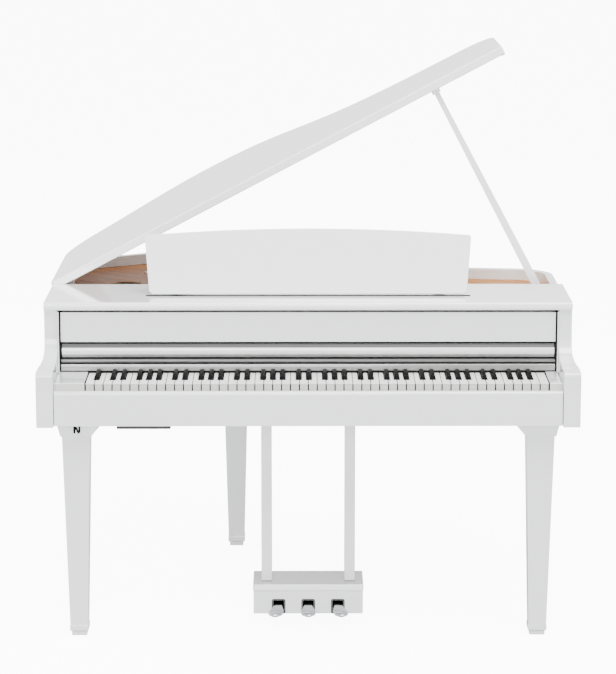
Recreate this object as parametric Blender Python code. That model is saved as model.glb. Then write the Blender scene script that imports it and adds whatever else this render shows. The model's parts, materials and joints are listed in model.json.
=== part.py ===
# Digital grand piano, lid propped open. Metres, +X to the player's right, +Y away from the player, +Z up.
# The origin is on the floor, under the middle of the outline. The rest pose has the lid on its prop,
# the music desk up and the key cover open.
import math

import bmesh
import bpy
from mathutils import Vector

for item in list(bpy.data.objects):
    bpy.data.objects.remove(item, do_unlink=True)

# Running and seating clearances
FIT = 0.0003                # between two pieces that touch
KEY_CLEAR = 0.001           # beside a key
COVER_CLEAR = 0.008         # beside the key cover

# Case
BODY_WIDTH = 1.430          # over the arms, at their front
BODY_DEPTH = 1.237          # arms' front to the tail
UNDERSIDE = 0.590           # floor to the underside of the case
BOTTOM_THICK = 0.018
RIM_TOP = 0.873             # floor to the top of the rim
RIM_WALL = 0.022
ARM_WIDTH = 0.045           # arm at its front face
ARM_FLARE = 0.0095          # how far the arm's front stands out beside the rim
ARM_TOP = 0.737             # height of the arm's low front
ARM_RISE_SETBACK = 0.173    # arms' front to the upright face of the arm
ARM_ROUND = 0.011
BOARD_THICK = 0.022
BOARD_SETBACK = 0.1595      # arms' front to the top board's front edge
BOARD_DEPTH = 0.291
BOARD_ROUND = 0.008
DECK_DROP = 0.030           # rim top down to the soundboard
DECK_THICK = 0.009
BELLY_THICK = 0.0195

# Plan of the rim behind the top board
SPINE_DROP = 0.3285         # end of the straight left side, forward of the tail
CHEEK_DROP = 0.4985         # end of the straight right side, forward of the tail
SHOULDER_IN = 0.1055        # left shoulder, in from the side
SHOULDER_DROP = 0.1665      # left shoulder, forward of the tail
TAIL_IN = 0.4855            # rearmost point of the tail, in from the left side
WAIST_IN = 0.4055           # waist of the bent side, in from the right side
WAIST_DROP = 0.3335         # waist of the bent side, forward of the tail
HIP_IN = 0.1055             # right corner, in from the side
HIP_DROP = 0.3905           # right corner, forward of the tail
CURVE_STEPS = 11

# Keyboard
WHITE_PITCH = 0.0235
BLOCK_LEAST = 0.034         # room that the right key block needs for its button
WHITE_TOP = 0.700           # floor to the top of the white keys
WHITE_THICK = 0.020
KEY_SETBACK = 0.0405        # arms' front to the white keys' front
KEY_VISIBLE = 0.147         # white key in front of the cover rail
BLACK_WIDTH = 0.0100
BLACK_RISE = 0.0100
BLACK_SETBACK = 0.049       # white keys' front to the black keys' front
BLACK_SLOPE = 0.0045
KEYS_SHIFT = 0.0233         # the keyboard's middle, right of the case's middle
KEY_LENGTH = 0.2245
KEY_PIVOT_IN = 0.003        # key's rear end to its pivot line
KEY_DIP = 0.010
FRAME_THICK = 0.008
FRAME_RAIL = 0.020
FRAME_BACK = 0.022
SLIP_SETBACK = 0.012
SLIP_THICK = 0.0235
SLIP_TOP = 0.687
SLIP_ROUND = 0.009
SLIP_LIFT = 0.002           # slip's lower edge above the arms' undersides
BLOCK_RISE = 0.003          # key blocks above the white keys

# Key cover and its rail
RAIL_RISE = 0.0035          # white keys to the cover rail
RAIL_HEIGHT = 0.025
RAIL_DEPTH = 0.030
GROOVE_HEIGHT = 0.0135
GROOVE_DEPTH = 0.008
NOSE_RADIUS = 0.018
NOSE_GAP = 0.003            # rail's upper edge to the nose
PANEL_THICK = 0.013
PANEL_GAP = 0.006           # panel's top to the underside of the board
LIP_THICK = 0.010
LIP_LENGTH = 0.044
COVER_PIN = 0.005

# Lid, its hinge and its prop
LID_THICK = 0.024
LID_GAP = 0.003             # the rubber bumper's thickness
LID_ANGLE = math.radians(27.8)
LID_ROUND = 0.004
HINGE_LEAF = 0.0012
HINGE_DROP = 0.020
HINGE_BEHIND = 0.030        # top board to the hinge
HINGE_SHORT = 0.028         # hinge's rear end, forward of the straight side's end
HINGE_KNUCKLES = 8
PROP_IN = 0.056             # prop's pin, in from the rim's right side
PROP_BEHIND = 0.050         # prop's pin, behind the top board
PROP_ABOVE = 0.018          # prop's pin, above the soundboard
PROP_BASE_WIDTH = 0.023
PROP_TIP_WIDTH = 0.0145
PROP_THICK = 0.014
PROP_PIN = 0.003
CHEEK_THICK = 0.004
CUP_DEPTH = 0.010
CUP_WALL = 0.004
CUP_BASE = 0.003
CUP_CLEAR = 0.001
BUMPER_RADIUS = 0.006

# Music desk
DESK_WIDTH = 0.884
DESK_FOOT = 0.858
DESK_SIDE = 0.160
DESK_ARCH = 0.018
DESK_THICK = 0.012
DESK_SETBACK = 0.114        # board's front edge to the desk's hinge line
DESK_LEAN = math.radians(20.0)
DESK_PIN = 0.003
DESK_HINGE_X = 0.354
DESK_HINGE_WIDTH = 0.032
DESK_LEAF = 0.0012
DESK_CORNER = 0.008

# Legs
LEG_IN = 0.0985             # middle of a front leg, in from the side
LEG_SETBACK = 0.0965        # arms' front to the middle of the front legs
LEG_TOP = 0.074
LEG_BOTTOM = 0.048
COLLAR_TOP = 0.114
COLLAR_BOTTOM = 0.082
COLLAR_HEIGHT = 0.036
COLLAR_SHIFT = 0.010        # the collar's top reaches in towards the keys
REAR_LEG_SHIFT = 0.007      # rear leg, right of the tail's rearmost point
REAR_LEG_IN = 0.2325        # tail to the middle of the rear leg
CUFF_HEIGHT = 0.016
CUFF_PROUD = 0.0012
FOOT_HEIGHT = 0.011
FOOT_WIDTH = 0.041
FOOT_NECK = 0.0018

# Pedal lyre
POST_X = 0.113
POST_WIDTH = 0.029
POST_DEPTH = 0.040
POST_SETBACK = 0.1935       # arms' front to the posts' front
BOX_WIDTH = 0.298
BOX_DEPTH = 0.137
BOX_BOTTOM = 0.035
BOX_HEIGHT = 0.0645
BOX_SETBACK = 0.1585
SLAB_THICK = 0.0175
SLAB_PROUD = 0.0015
PEDAL_PITCH = 0.0805
PEDAL_NECK = 0.020
PEDAL_PAD = 0.043
PEDAL_THICK = 0.008
PEDAL_REACH = 0.070         # pedal box's front to the pad's tip
PEDAL_SWEEP = 0.009         # how far the outer pads sweep out
HUB_RADIUS = 0.008
POCKET_WIDTH = 0.040
POCKET_WALL = 0.010
POCKET_FLOOR = 0.006
SLOT_WIDTH = 0.035
SLOT_HEIGHT = 0.034

# Small parts
JACK_IN = 0.2795            # jack box's middle, in from the left side
JACK_SIZE = (0.143, 0.080, 0.0130)
JACK_SETBACK = 0.044
HOOK_IN = 0.104             # hook's middle, in from the left side
HOOK_WIDTH = 0.018
HOOK_DROP = 0.021
HOOK_WIRE = 0.003
HOOK_REACH = 0.015
BUTTON_RADIUS = 0.005
BUTTON_TRAVEL = 0.001
BUTTON_DEPTH = 0.006
BUTTON_SETBACK = 0.069
SPEAKER_RADIUS = 0.042
SPEAKER_DEPTH = 0.058
SPEAKER_DROP = 0.4855       # speakers' middles, forward of the tail
SPEAKER_IN = (0.1855, 0.3755)    # speakers' middles, in from the rim's left and right sides
CIRCUIT_SIZE = (0.260, 0.090, 0.0016)
CIRCUIT_IN = 0.5355         # circuit board's middle, in from the rim's left side
CIRCUIT_AHEAD = 0.020       # belly rail to the circuit board
SUPPLY_SIZE = (0.160, 0.100, 0.045)
SUPPLY_IN = 0.4455          # supply's middle, in from the rim's right side
SUPPLY_BEHIND = 0.060       # top board to the supply

# Places that follow from the sizes above
front = -BODY_DEPTH / 2
tail = BODY_DEPTH / 2
side = BODY_WIDTH / 2
rim = side - ARM_FLARE
armInner = side - ARM_WIDTH
boardFront = front + BOARD_SETBACK
boardRear = boardFront + BOARD_DEPTH
boardTop = RIM_TOP + FIT + BOARD_THICK
deckTop = RIM_TOP - DECK_DROP
keyFront = front + KEY_SETBACK
keyRear = keyFront + KEY_LENGTH
keyBottom = WHITE_TOP - WHITE_THICK
blackFront = keyFront + BLACK_SETBACK
railFront = keyFront + KEY_VISIBLE
whiteCount = int(2 * (armInner - BLOCK_LEAST - KEYS_SHIFT) / WHITE_PITCH)
keysLeft = KEYS_SHIFT - whiteCount * WHITE_PITCH / 2
keysRight = KEYS_SHIFT + whiteCount * WHITE_PITCH / 2
keyPivotY = keyRear - KEY_PIVOT_IN
keyPivotZ = WHITE_TOP - WHITE_THICK / 2
slipFront = front + SLIP_SETBACK
slipRear = slipFront + SLIP_THICK
bottomTop = UNDERSIDE + BOTTOM_THICK
railBottom = WHITE_TOP + RAIL_RISE
noseY = railFront - 0.003
noseZ = railBottom + RAIL_HEIGHT + GROOVE_HEIGHT + NOSE_GAP + NOSE_RADIUS
knuckle = LID_GAP - FIT
lidInset = knuckle + HINGE_LEAF + 2 * FIT
boxFront = front + BOX_SETBACK
boxTop = BOX_BOTTOM + BOX_HEIGHT
tailX = -rim + TAIL_IN
waistX = rim - WAIST_IN
legX = side - LEG_IN
rearLegX = tailX + REAR_LEG_SHIFT
jackX = -side + JACK_IN
hookX = -side + HOOK_IN
speakerX = (-rim + SPEAKER_IN[0], rim - SPEAKER_IN[1])
speakerY = tail - SPEAKER_DROP
spineEnd = tail - SPINE_DROP
cheekEnd = tail - CHEEK_DROP


def material(name, colour, roughness, metallic=0.0):
    made = bpy.data.materials.new(name)
    made.use_nodes = True
    shader = made.node_tree.nodes["Principled BSDF"]
    shader.inputs["Base Color"].default_value = (*colour, 1.0)
    shader.inputs["Roughness"].default_value = roughness
    shader.inputs["Metallic"].default_value = metallic
    made.diffuse_color = (*colour, 1.0)
    return made


WHITE_LACQUER = ("white_lacquer", (0.86, 0.87, 0.87), 0.12)
IVORY_KEY = ("ivory_key", (0.90, 0.90, 0.88), 0.30)
EBONY_KEY = ("ebony_key", (0.02, 0.02, 0.022), 0.35)
CHROME = ("chrome", (0.80, 0.81, 0.82), 0.12, 1.0)
STEEL = ("steel", (0.55, 0.56, 0.57), 0.35, 1.0)
SPRUCE = ("spruce", (0.56, 0.30, 0.13), 0.45)
BLACK_PLASTIC = ("black_plastic", (0.02, 0.02, 0.02), 0.45)
BOARD_GREEN = ("circuit_green", (0.03, 0.20, 0.09), 0.50)
SUPPLY_GREY = ("supply_case", (0.45, 0.46, 0.47), 0.45, 1.0)
RUBBER = ("rubber", (0.05, 0.05, 0.05), 0.80)


def piece(name, shape, look, origin=(0, 0, 0), parent=None, turn=(0, 0, 0), smooth=None):
    """Makes one named object. The shape's points are measured from its origin."""
    bmesh.ops.recalc_face_normals(shape, faces=shape.faces)
    mesh = bpy.data.meshes.new(name)
    shape.to_mesh(mesh)
    shape.free()
    if smooth is not None:
        mesh.shade_smooth()
        mesh.set_sharp_from_angle(angle=math.radians(smooth))
    made = bpy.data.objects.new(name, mesh)
    bpy.context.collection.objects.link(made)
    made.location = origin
    made.rotation_euler = turn
    made.parent = parent
    mesh.materials.append(material(name + "_finish", *look[1:]))
    return made


def rounded(made, width, segments=2, angle=40):
    bevel = made.modifiers.new("edges", "BEVEL")
    bevel.width = width
    bevel.segments = segments
    bevel.limit_method = "ANGLE"
    bevel.angle_limit = math.radians(angle)
    return made


def combine(made, name, shape, operation):
    """Unions a second shape with an object, or cuts it away."""
    tool = piece(name, shape, BLACK_PLASTIC)
    tool.hide_render = True
    tool.display_type = "WIRE"
    tool.location = made.location
    tool.rotation_euler = made.rotation_euler
    tool.parent = made.parent
    boolean = made.modifiers.new(name, "BOOLEAN")
    boolean.operation = operation
    boolean.object = tool
    return made


def extrusion(points, start, end, axis):
    """A closed outline drawn across one axis and pushed along it."""
    shape = bmesh.new()
    place = {
        "x": lambda a, b, d: (d, a, b),
        "y": lambda a, b, d: (a, d, b),
        "z": lambda a, b, d: (a, b, d),
    }[axis]
    near = [shape.verts.new(place(a, b, start)) for a, b in points]
    far = [shape.verts.new(place(a, b, end)) for a, b in points]
    shape.faces.new(near)
    shape.faces.new(list(reversed(far)))
    for i in range(len(points)):
        j = (i + 1) % len(points)
        shape.faces.new((near[i], far[i], far[j], near[j]))
    return shape


def block(low, high):
    (x0, y0, z0), (x1, y1, z1) = low, high
    return extrusion([(x0, y0), (x1, y0), (x1, y1), (x0, y1)], z0, z1, "z")


def loft(rings):
    """Skins equal rings of points in order and closes both ends."""
    shape = bmesh.new()
    loops = [[shape.verts.new(point) for point in ring] for ring in rings]
    for low, high in zip(loops, loops[1:]):
        for i in range(len(low)):
            j = (i + 1) % len(low)
            shape.faces.new((low[i], low[j], high[j], high[i]))
    shape.faces.new(list(reversed(loops[0])))
    shape.faces.new(loops[-1])
    return shape


def circle(radius, centre=(0, 0), count=24, start=0.0, sweep=2 * math.pi):
    steps = count if sweep >= 2 * math.pi else count + 1
    return [
        (
            centre[0] + radius * math.cos(start + sweep * i / count),
            centre[1] + radius * math.sin(start + sweep * i / count),
        )
        for i in range(steps)
    ]


def merge(shapes):
    whole = bmesh.new()
    for shape in shapes:
        mesh = bpy.data.meshes.new("part_shape")
        bmesh.ops.recalc_face_normals(shape, faces=shape.faces)
        shape.to_mesh(mesh)
        shape.free()
        whole.from_mesh(mesh)
        bpy.data.meshes.remove(mesh)
    return whole


def bezier(start, start_pull, end_pull, end, steps):
    """Points after the start of a cubic curve, its end included."""
    found = []
    for i in range(1, steps + 1):
        t = i / steps
        found.append(
            start * (1 - t) ** 3
            + start_pull * 3 * t * (1 - t) ** 2
            + end_pull * 3 * t * t * (1 - t)
            + end * t**3
        )
    return found


def rim_knots():
    """Corners of the rim's plan, each with the direction that the rim runs in."""
    return [
        (Vector((-rim, spineEnd)), Vector((0.0, 1.0))),
        (Vector((-rim + SHOULDER_IN, tail - SHOULDER_DROP)), Vector((0.90, 0.43))),
        (Vector((tailX, tail)), Vector((1.0, 0.0))),
        (Vector((waistX, tail - WAIST_DROP)), Vector((0.93, -0.36))),
        (Vector((rim - HIP_IN, tail - HIP_DROP)), Vector((0.99, -0.12))),
        (Vector((rim, cheekEnd)), Vector((0.0, -1.0))),
    ]


def rim_curve(first, last):
    """The rim's outer line between two knots, with its direction at each point."""
    knots = rim_knots()[first : last + 1]
    points = [knots[0][0]]
    for (a, a_way), (b, b_way) in zip(knots, knots[1:]):
        pull = (b - a).length * 0.38
        points += bezier(a, a + a_way.normalized() * pull, b - b_way.normalized() * pull, b, CURVE_STEPS)
    ways = [knots[0][1].normalized()]
    for before, after in zip(points, points[2:]):
        ways.append((after - before).normalized())
    ways.append(knots[-1][1].normalized())
    return points, ways


def inset(points, ways, distance):
    return [(p.x + way.y * distance, p.y - way.x * distance) for p, way in zip(points, ways)]


def wall(outer, inner, low, high):
    """A bent wall between two lines, as a strip of quads."""
    rings = [
        [(ox, oy, low), (ox, oy, high), (ix, iy, high), (ix, iy, low)]
        for (ox, oy), (ix, iy) in zip(outer, inner)
    ]
    return loft(rings)


def behind_board(distance, start):
    """The outline behind the board, in from the rim's outer face, from the left round to the right."""
    points, ways = rim_curve(0, 5)
    line = inset(points, ways, distance)
    return [(-rim + distance, start)] + line + [(rim - distance, start)]


def case():
    for way, name in ((-1, "arm_left"), (1, "arm_right")):
        rise = front + ARM_RISE_SETBACK
        knee = Vector((front + ARM_RISE_SETBACK * 0.45, ARM_TOP + 0.001))
        profile = [Vector((boardRear, UNDERSIDE)), Vector((front, UNDERSIDE))]
        profile += [
            Vector(p)
            for p in circle(
                ARM_ROUND, (front + ARM_ROUND, ARM_TOP - ARM_ROUND), 5, math.pi, -math.pi / 2
            )
        ]
        profile.append(knee)
        profile += bezier(
            knee,
            knee + Vector((0.060, 0.001)),
            Vector((rise, ARM_TOP + 0.020)),
            Vector((rise, ARM_TOP + 0.062)),
            9,
        )
        profile += [Vector((rise, RIM_TOP)), Vector((boardRear, RIM_TOP))]
        shape = extrusion([tuple(p) for p in profile], way * armInner, way * rim, "x")
        flareEnd = front + ARM_RISE_SETBACK
        flareStart = front + ARM_RISE_SETBACK * 0.35
        for i in range(7):
            bmesh.ops.bisect_plane(
                shape,
                geom=shape.verts[:] + shape.edges[:] + shape.faces[:],
                plane_co=(0, flareStart + (flareEnd - flareStart) * i / 6, 0),
                plane_no=(0, 1, 0),
            )
        for vert in shape.verts:
            if abs(vert.co.x) > armInner + 0.001:
                t = min(1.0, max(0.0, (flareEnd - vert.co.y) / (flareEnd - flareStart)))
                vert.co.x = way * (rim + ARM_FLARE * t * t * (3 - 2 * t))
        piece(name, shape, WHITE_LACQUER, smooth=35)

    start = boardRear + FIT
    for name, first, last in (("rim_spine", None, 0), ("rim_tail", 0, 2), ("rim_bent_side", 2, 5)):
        if first is None:
            outer = [(-rim, start), (-rim, spineEnd - FIT)]
            inner = [(x + RIM_WALL, y) for x, y in outer]
        else:
            points, ways = rim_curve(first, last)
            outer = inset(points, ways, 0.0)
            inner = inset(points, ways, RIM_WALL)
            if last == 5:
                shift = FIT
                outer[0] = (outer[0][0] + shift, outer[0][1])
                inner[0] = (inner[0][0] + shift, inner[0][1])
                outer.append((rim, start))
                inner.append((rim - RIM_WALL, start))
        piece(name, wall(outer, inner, UNDERSIDE, RIM_TOP), WHITE_LACQUER, smooth=35)

    inside = behind_board(RIM_WALL + FIT, boardRear + FIT)
    shelf = armInner - FIT
    outline = [(-shelf, slipRear + FIT), (-shelf, boardRear + FIT)] + inside
    outline += [(shelf, boardRear + FIT), (shelf, slipRear + FIT)]
    piece("bottom_board", extrusion(outline, UNDERSIDE, bottomTop, "z"), WHITE_LACQUER)

    deck = piece("soundboard", extrusion(inside, deckTop - DECK_THICK, deckTop, "z"), SPRUCE)
    for i, x in enumerate(speakerX):
        hole = extrusion(circle(SPEAKER_RADIUS, (x, speakerY), 32), deckTop - 0.05, deckTop + 0.05, "z")
        combine(deck, "speaker_hole_%d" % i, hole, "DIFFERENCE")

    belly = block(
        (-armInner + FIT, boardRear - BELLY_THICK, bottomTop + FIT),
        (armInner - FIT, boardRear, RIM_TOP),
    )
    piece("belly_rail", belly, SPRUCE)

    r = BOARD_ROUND
    low, high = RIM_TOP + FIT, boardTop
    profile = [(boardRear, low)]
    profile += circle(r, (boardFront + r, low + r), 4, -math.pi / 2, -math.pi / 2)
    profile += circle(r, (boardFront + r, high - r), 4, math.pi, -math.pi / 2)
    profile.append((boardRear, high))
    piece("front_top_board", extrusion(profile, -rim, rim, "x"), WHITE_LACQUER, smooth=35)


def key_cover():
    left, right = -armInner + FIT, armInner - FIT
    stripTop = railBottom + RAIL_HEIGHT
    grooveTop = stripTop + GROOVE_HEIGHT
    profile = [
        (railFront + RAIL_DEPTH, railBottom),
        (railFront + 0.003, railBottom),
        (railFront, railBottom + 0.003),
        (railFront, stripTop - 0.002),
        (railFront + 0.002, stripTop),
        (railFront + GROOVE_DEPTH, stripTop),
        (railFront + GROOVE_DEPTH, grooveTop),
        (railFront + RAIL_DEPTH, grooveTop),
    ]
    piece("fallboard_rail", extrusion(profile, left, right, "x"), WHITE_LACQUER)

    # The cover's points are measured from its pivot line, at the middle of the nose
    axle = bpy.data.objects.new("cover_axis", None)
    bpy.context.collection.objects.link(axle)
    axle.location = (0, noseY, noseZ)
    reach = armInner - COVER_CLEAR
    panelRear = -NOSE_RADIUS + 0.005 + PANEL_THICK
    shelf = NOSE_RADIUS + 0.0025
    turn = math.asin(panelRear / NOSE_RADIUS)
    lead = math.asin((NOSE_RADIUS - 0.005) / NOSE_RADIUS)
    profile = circle(NOSE_RADIUS, (0, 0), 26, math.pi / 2 + lead, 2 * math.pi - lead + turn)
    profile += [(panelRear, shelf), (-NOSE_RADIUS + 0.005, shelf)]
    nose = piece("fallboard_nose", extrusion(profile, -reach, reach, "x"), WHITE_LACQUER, parent=axle, smooth=35)
    pins = extrusion(circle(COVER_PIN, (0, 0), 16), -armInner + FIT, armInner - FIT, "x")
    combine(nose, "cover_pins", pins, "UNION")

    top = RIM_TOP + FIT - PANEL_GAP - noseZ
    panel = block((-reach, -NOSE_RADIUS + 0.005, shelf + FIT), (reach, panelRear, top))
    rounded(piece("fallboard_panel", panel, WHITE_LACQUER, parent=axle), 0.0015, 2)

    # The lip hangs behind the panel, from a line at the panel's rear top edge
    lip = block((-reach + 0.004, FIT, -LIP_LENGTH), (reach - 0.004, FIT + LIP_THICK, 0.0))
    lip = piece("fallboard_lip", lip, WHITE_LACQUER, origin=(0, panelRear, top), parent=axle)
    rounded(lip, 0.002, 2)


NATURAL_STEPS = (0, 2, 4, 5, 7, 9, 11)
SHARP_SHIFT = {1: -0.0018, 3: 0.0018, 6: -0.0025, 8: 0.0, 10: 0.0025}
KEY_NAMES = {0: "c", 1: "c_sharp", 2: "d", 3: "d_sharp", 4: "e", 5: "f"}
KEY_NAMES.update({6: "f_sharp", 7: "g", 8: "g_sharp", 9: "a", 10: "a_sharp", 11: "b"})
LOWEST_KEY = 21
OCTAVE = range(60, 72)      # the octave from middle C has its keys as separate pieces


def key_plan():
    """Where each key lies: number, whether it is white, and its left and right sides."""
    plan = []
    whites = 0
    number = LOWEST_KEY - 1
    while whites < whiteCount:
        number += 1
        step = number % 12
        edge = keysLeft + whites * WHITE_PITCH
        if step in NATURAL_STEPS:
            plan.append((number, True, edge + KEY_CLEAR / 2, edge + WHITE_PITCH - KEY_CLEAR / 2))
            whites += 1
        else:
            middle = edge + SHARP_SHIFT[step]
            plan.append((number, False, middle - BLACK_WIDTH / 2, middle + BLACK_WIDTH / 2))
    return plan


def white_finger(plan, i, rear):
    """Plan outline of a white key, notched beside its black neighbours, from rear left to rear right."""
    number, white, left, right = plan[i]
    notch = blackFront - KEY_CLEAR
    points = []
    if i > 0 and not plan[i - 1][1]:
        inner = plan[i - 1][3] + KEY_CLEAR
        points += [(inner, rear), (inner, notch), (left, notch)]
    else:
        points.append((left, rear))
    points += [(left, keyFront), (right, keyFront)]
    if i + 1 < len(plan) and not plan[i + 1][1]:
        inner = plan[i + 1][2] - KEY_CLEAR
        points += [(right, notch), (inner, notch), (inner, rear)]
    else:
        points.append((right, rear))
    return points


def black_profile(rear, low):
    body = WHITE_TOP - 0.001
    capRear = railFront - 0.0015
    return [
        (blackFront, low),
        (rear, low),
        (rear, body),
        (capRear, body),
        (capRear, WHITE_TOP + BLACK_RISE - 0.0005),
        (blackFront + BLACK_SLOPE, WHITE_TOP + BLACK_RISE),
        (blackFront, WHITE_TOP + BLACK_RISE - 0.007),
    ]


def keyboard():
    plan = key_plan()
    bar = keyRear + 0.0015

    # Frame under the keys: a front rail, a base plate and a rear rail with a ledge for the pivots
    baseTop = bottomTop + FIT + FRAME_THICK
    railTop = keyBottom - KEY_DIP - 0.004
    frontRail = keyFront + 0.006
    profile = [
        (frontRail, bottomTop + FIT),
        (bar + FRAME_BACK, bottomTop + FIT),
        (bar + FRAME_BACK, WHITE_TOP - 0.002),
        (bar + 0.001, WHITE_TOP - 0.002),
        (bar + 0.001, keyBottom - FIT),
        (keyPivotY - 0.004, keyBottom - FIT),
        (keyPivotY - 0.004, keyBottom - 0.012),
        (bar - 0.002, baseTop + 0.010),
        (bar - 0.002, baseTop),
        (frontRail + FRAME_RAIL, baseTop),
        (frontRail + FRAME_RAIL, railTop),
        (frontRail, railTop),
    ]
    frame = extrusion(profile, keysLeft, keysRight, "x")
    frame = piece("key_frame", frame, IVORY_KEY)

    combs = []
    for numbers in (range(LOWEST_KEY, OCTAVE[0]), range(OCTAVE[-1] + 1, plan[-1][0] + 1)):
        outline = []
        for i, (number, white, left, right) in enumerate(plan):
            if white and number in numbers:
                outline += white_finger(plan, i, bar)
        back = bar + FRAME_BACK - 0.001
        outline = [(outline[0][0], back)] + outline + [(outline[-1][0], back)]
        combs.append(extrusion(outline, keyBottom, WHITE_TOP, "z"))
    combine(frame, "white_keys", merge(combs), "UNION")

    blacks = []
    for number, white, left, right in plan:
        if not white and number not in OCTAVE:
            blacks.append(extrusion(black_profile(bar + 0.006, keyBottom + 0.001), left, right, "x"))
    combine(frame, "black_keys", merge(blacks), "UNION")

    for i, (number, white, left, right) in enumerate(plan):
        if number not in OCTAVE:
            continue
        middle = (left + right) / 2
        name = "key_" + KEY_NAMES[number % 12]
        if white:
            outline = [(x - middle, y - keyPivotY) for x, y in white_finger(plan, i, keyRear)]
            shape = extrusion(outline, keyBottom - keyPivotZ, WHITE_TOP - keyPivotZ, "z")
            look = IVORY_KEY
        else:
            profile = [(y - keyPivotY, z - keyPivotZ) for y, z in black_profile(keyRear, keyBottom)]
            shape = extrusion(profile, left - middle, right - middle, "x")
            look = EBONY_KEY
        piece(name, shape, look, origin=(middle, keyPivotY, keyPivotZ))

    blockTop = WHITE_TOP + BLOCK_RISE
    blockRear = railFront - 0.0005
    spans = (
        ("key_block_left", -armInner + FIT, keysLeft - KEY_CLEAR),
        ("key_block_right", keysRight + KEY_CLEAR, armInner - FIT),
    )
    for name, left, right in spans:
        shape = block((left, slipRear + FIT, bottomTop + FIT), (right, blockRear, blockTop))
        made = rounded(piece(name, shape, WHITE_LACQUER), 0.0015, 1)
        if name == "key_block_right":
            x, y = (left + right) / 2, front + BUTTON_SETBACK
            bore = extrusion(circle(BUTTON_RADIUS + FIT, (x, y), 20), blockTop - BUTTON_DEPTH, blockTop + 0.01, "z")
            combine(made, "button_bore", bore, "DIFFERENCE")
            low = BUTTON_TRAVEL + FIT - BUTTON_DEPTH
            button = extrusion(circle(BUTTON_RADIUS, (0, 0), 20), low, 0.0012, "z")
            piece("power_button", button, STEEL, origin=(x, y, blockTop), smooth=40)

    r = SLIP_ROUND
    profile = [(slipRear, UNDERSIDE + SLIP_LIFT), (slipFront, UNDERSIDE + SLIP_LIFT)]
    profile += circle(r, (slipFront + r, SLIP_TOP - r), 5, math.pi, -math.pi / 2)
    profile += circle(r, (slipRear - r, SLIP_TOP - r), 5, math.pi / 2, -math.pi / 2)
    shape = extrusion(profile, -armInner + FIT, armInner - FIT, "x")
    piece("key_slip", shape, WHITE_LACQUER, smooth=35)


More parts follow.
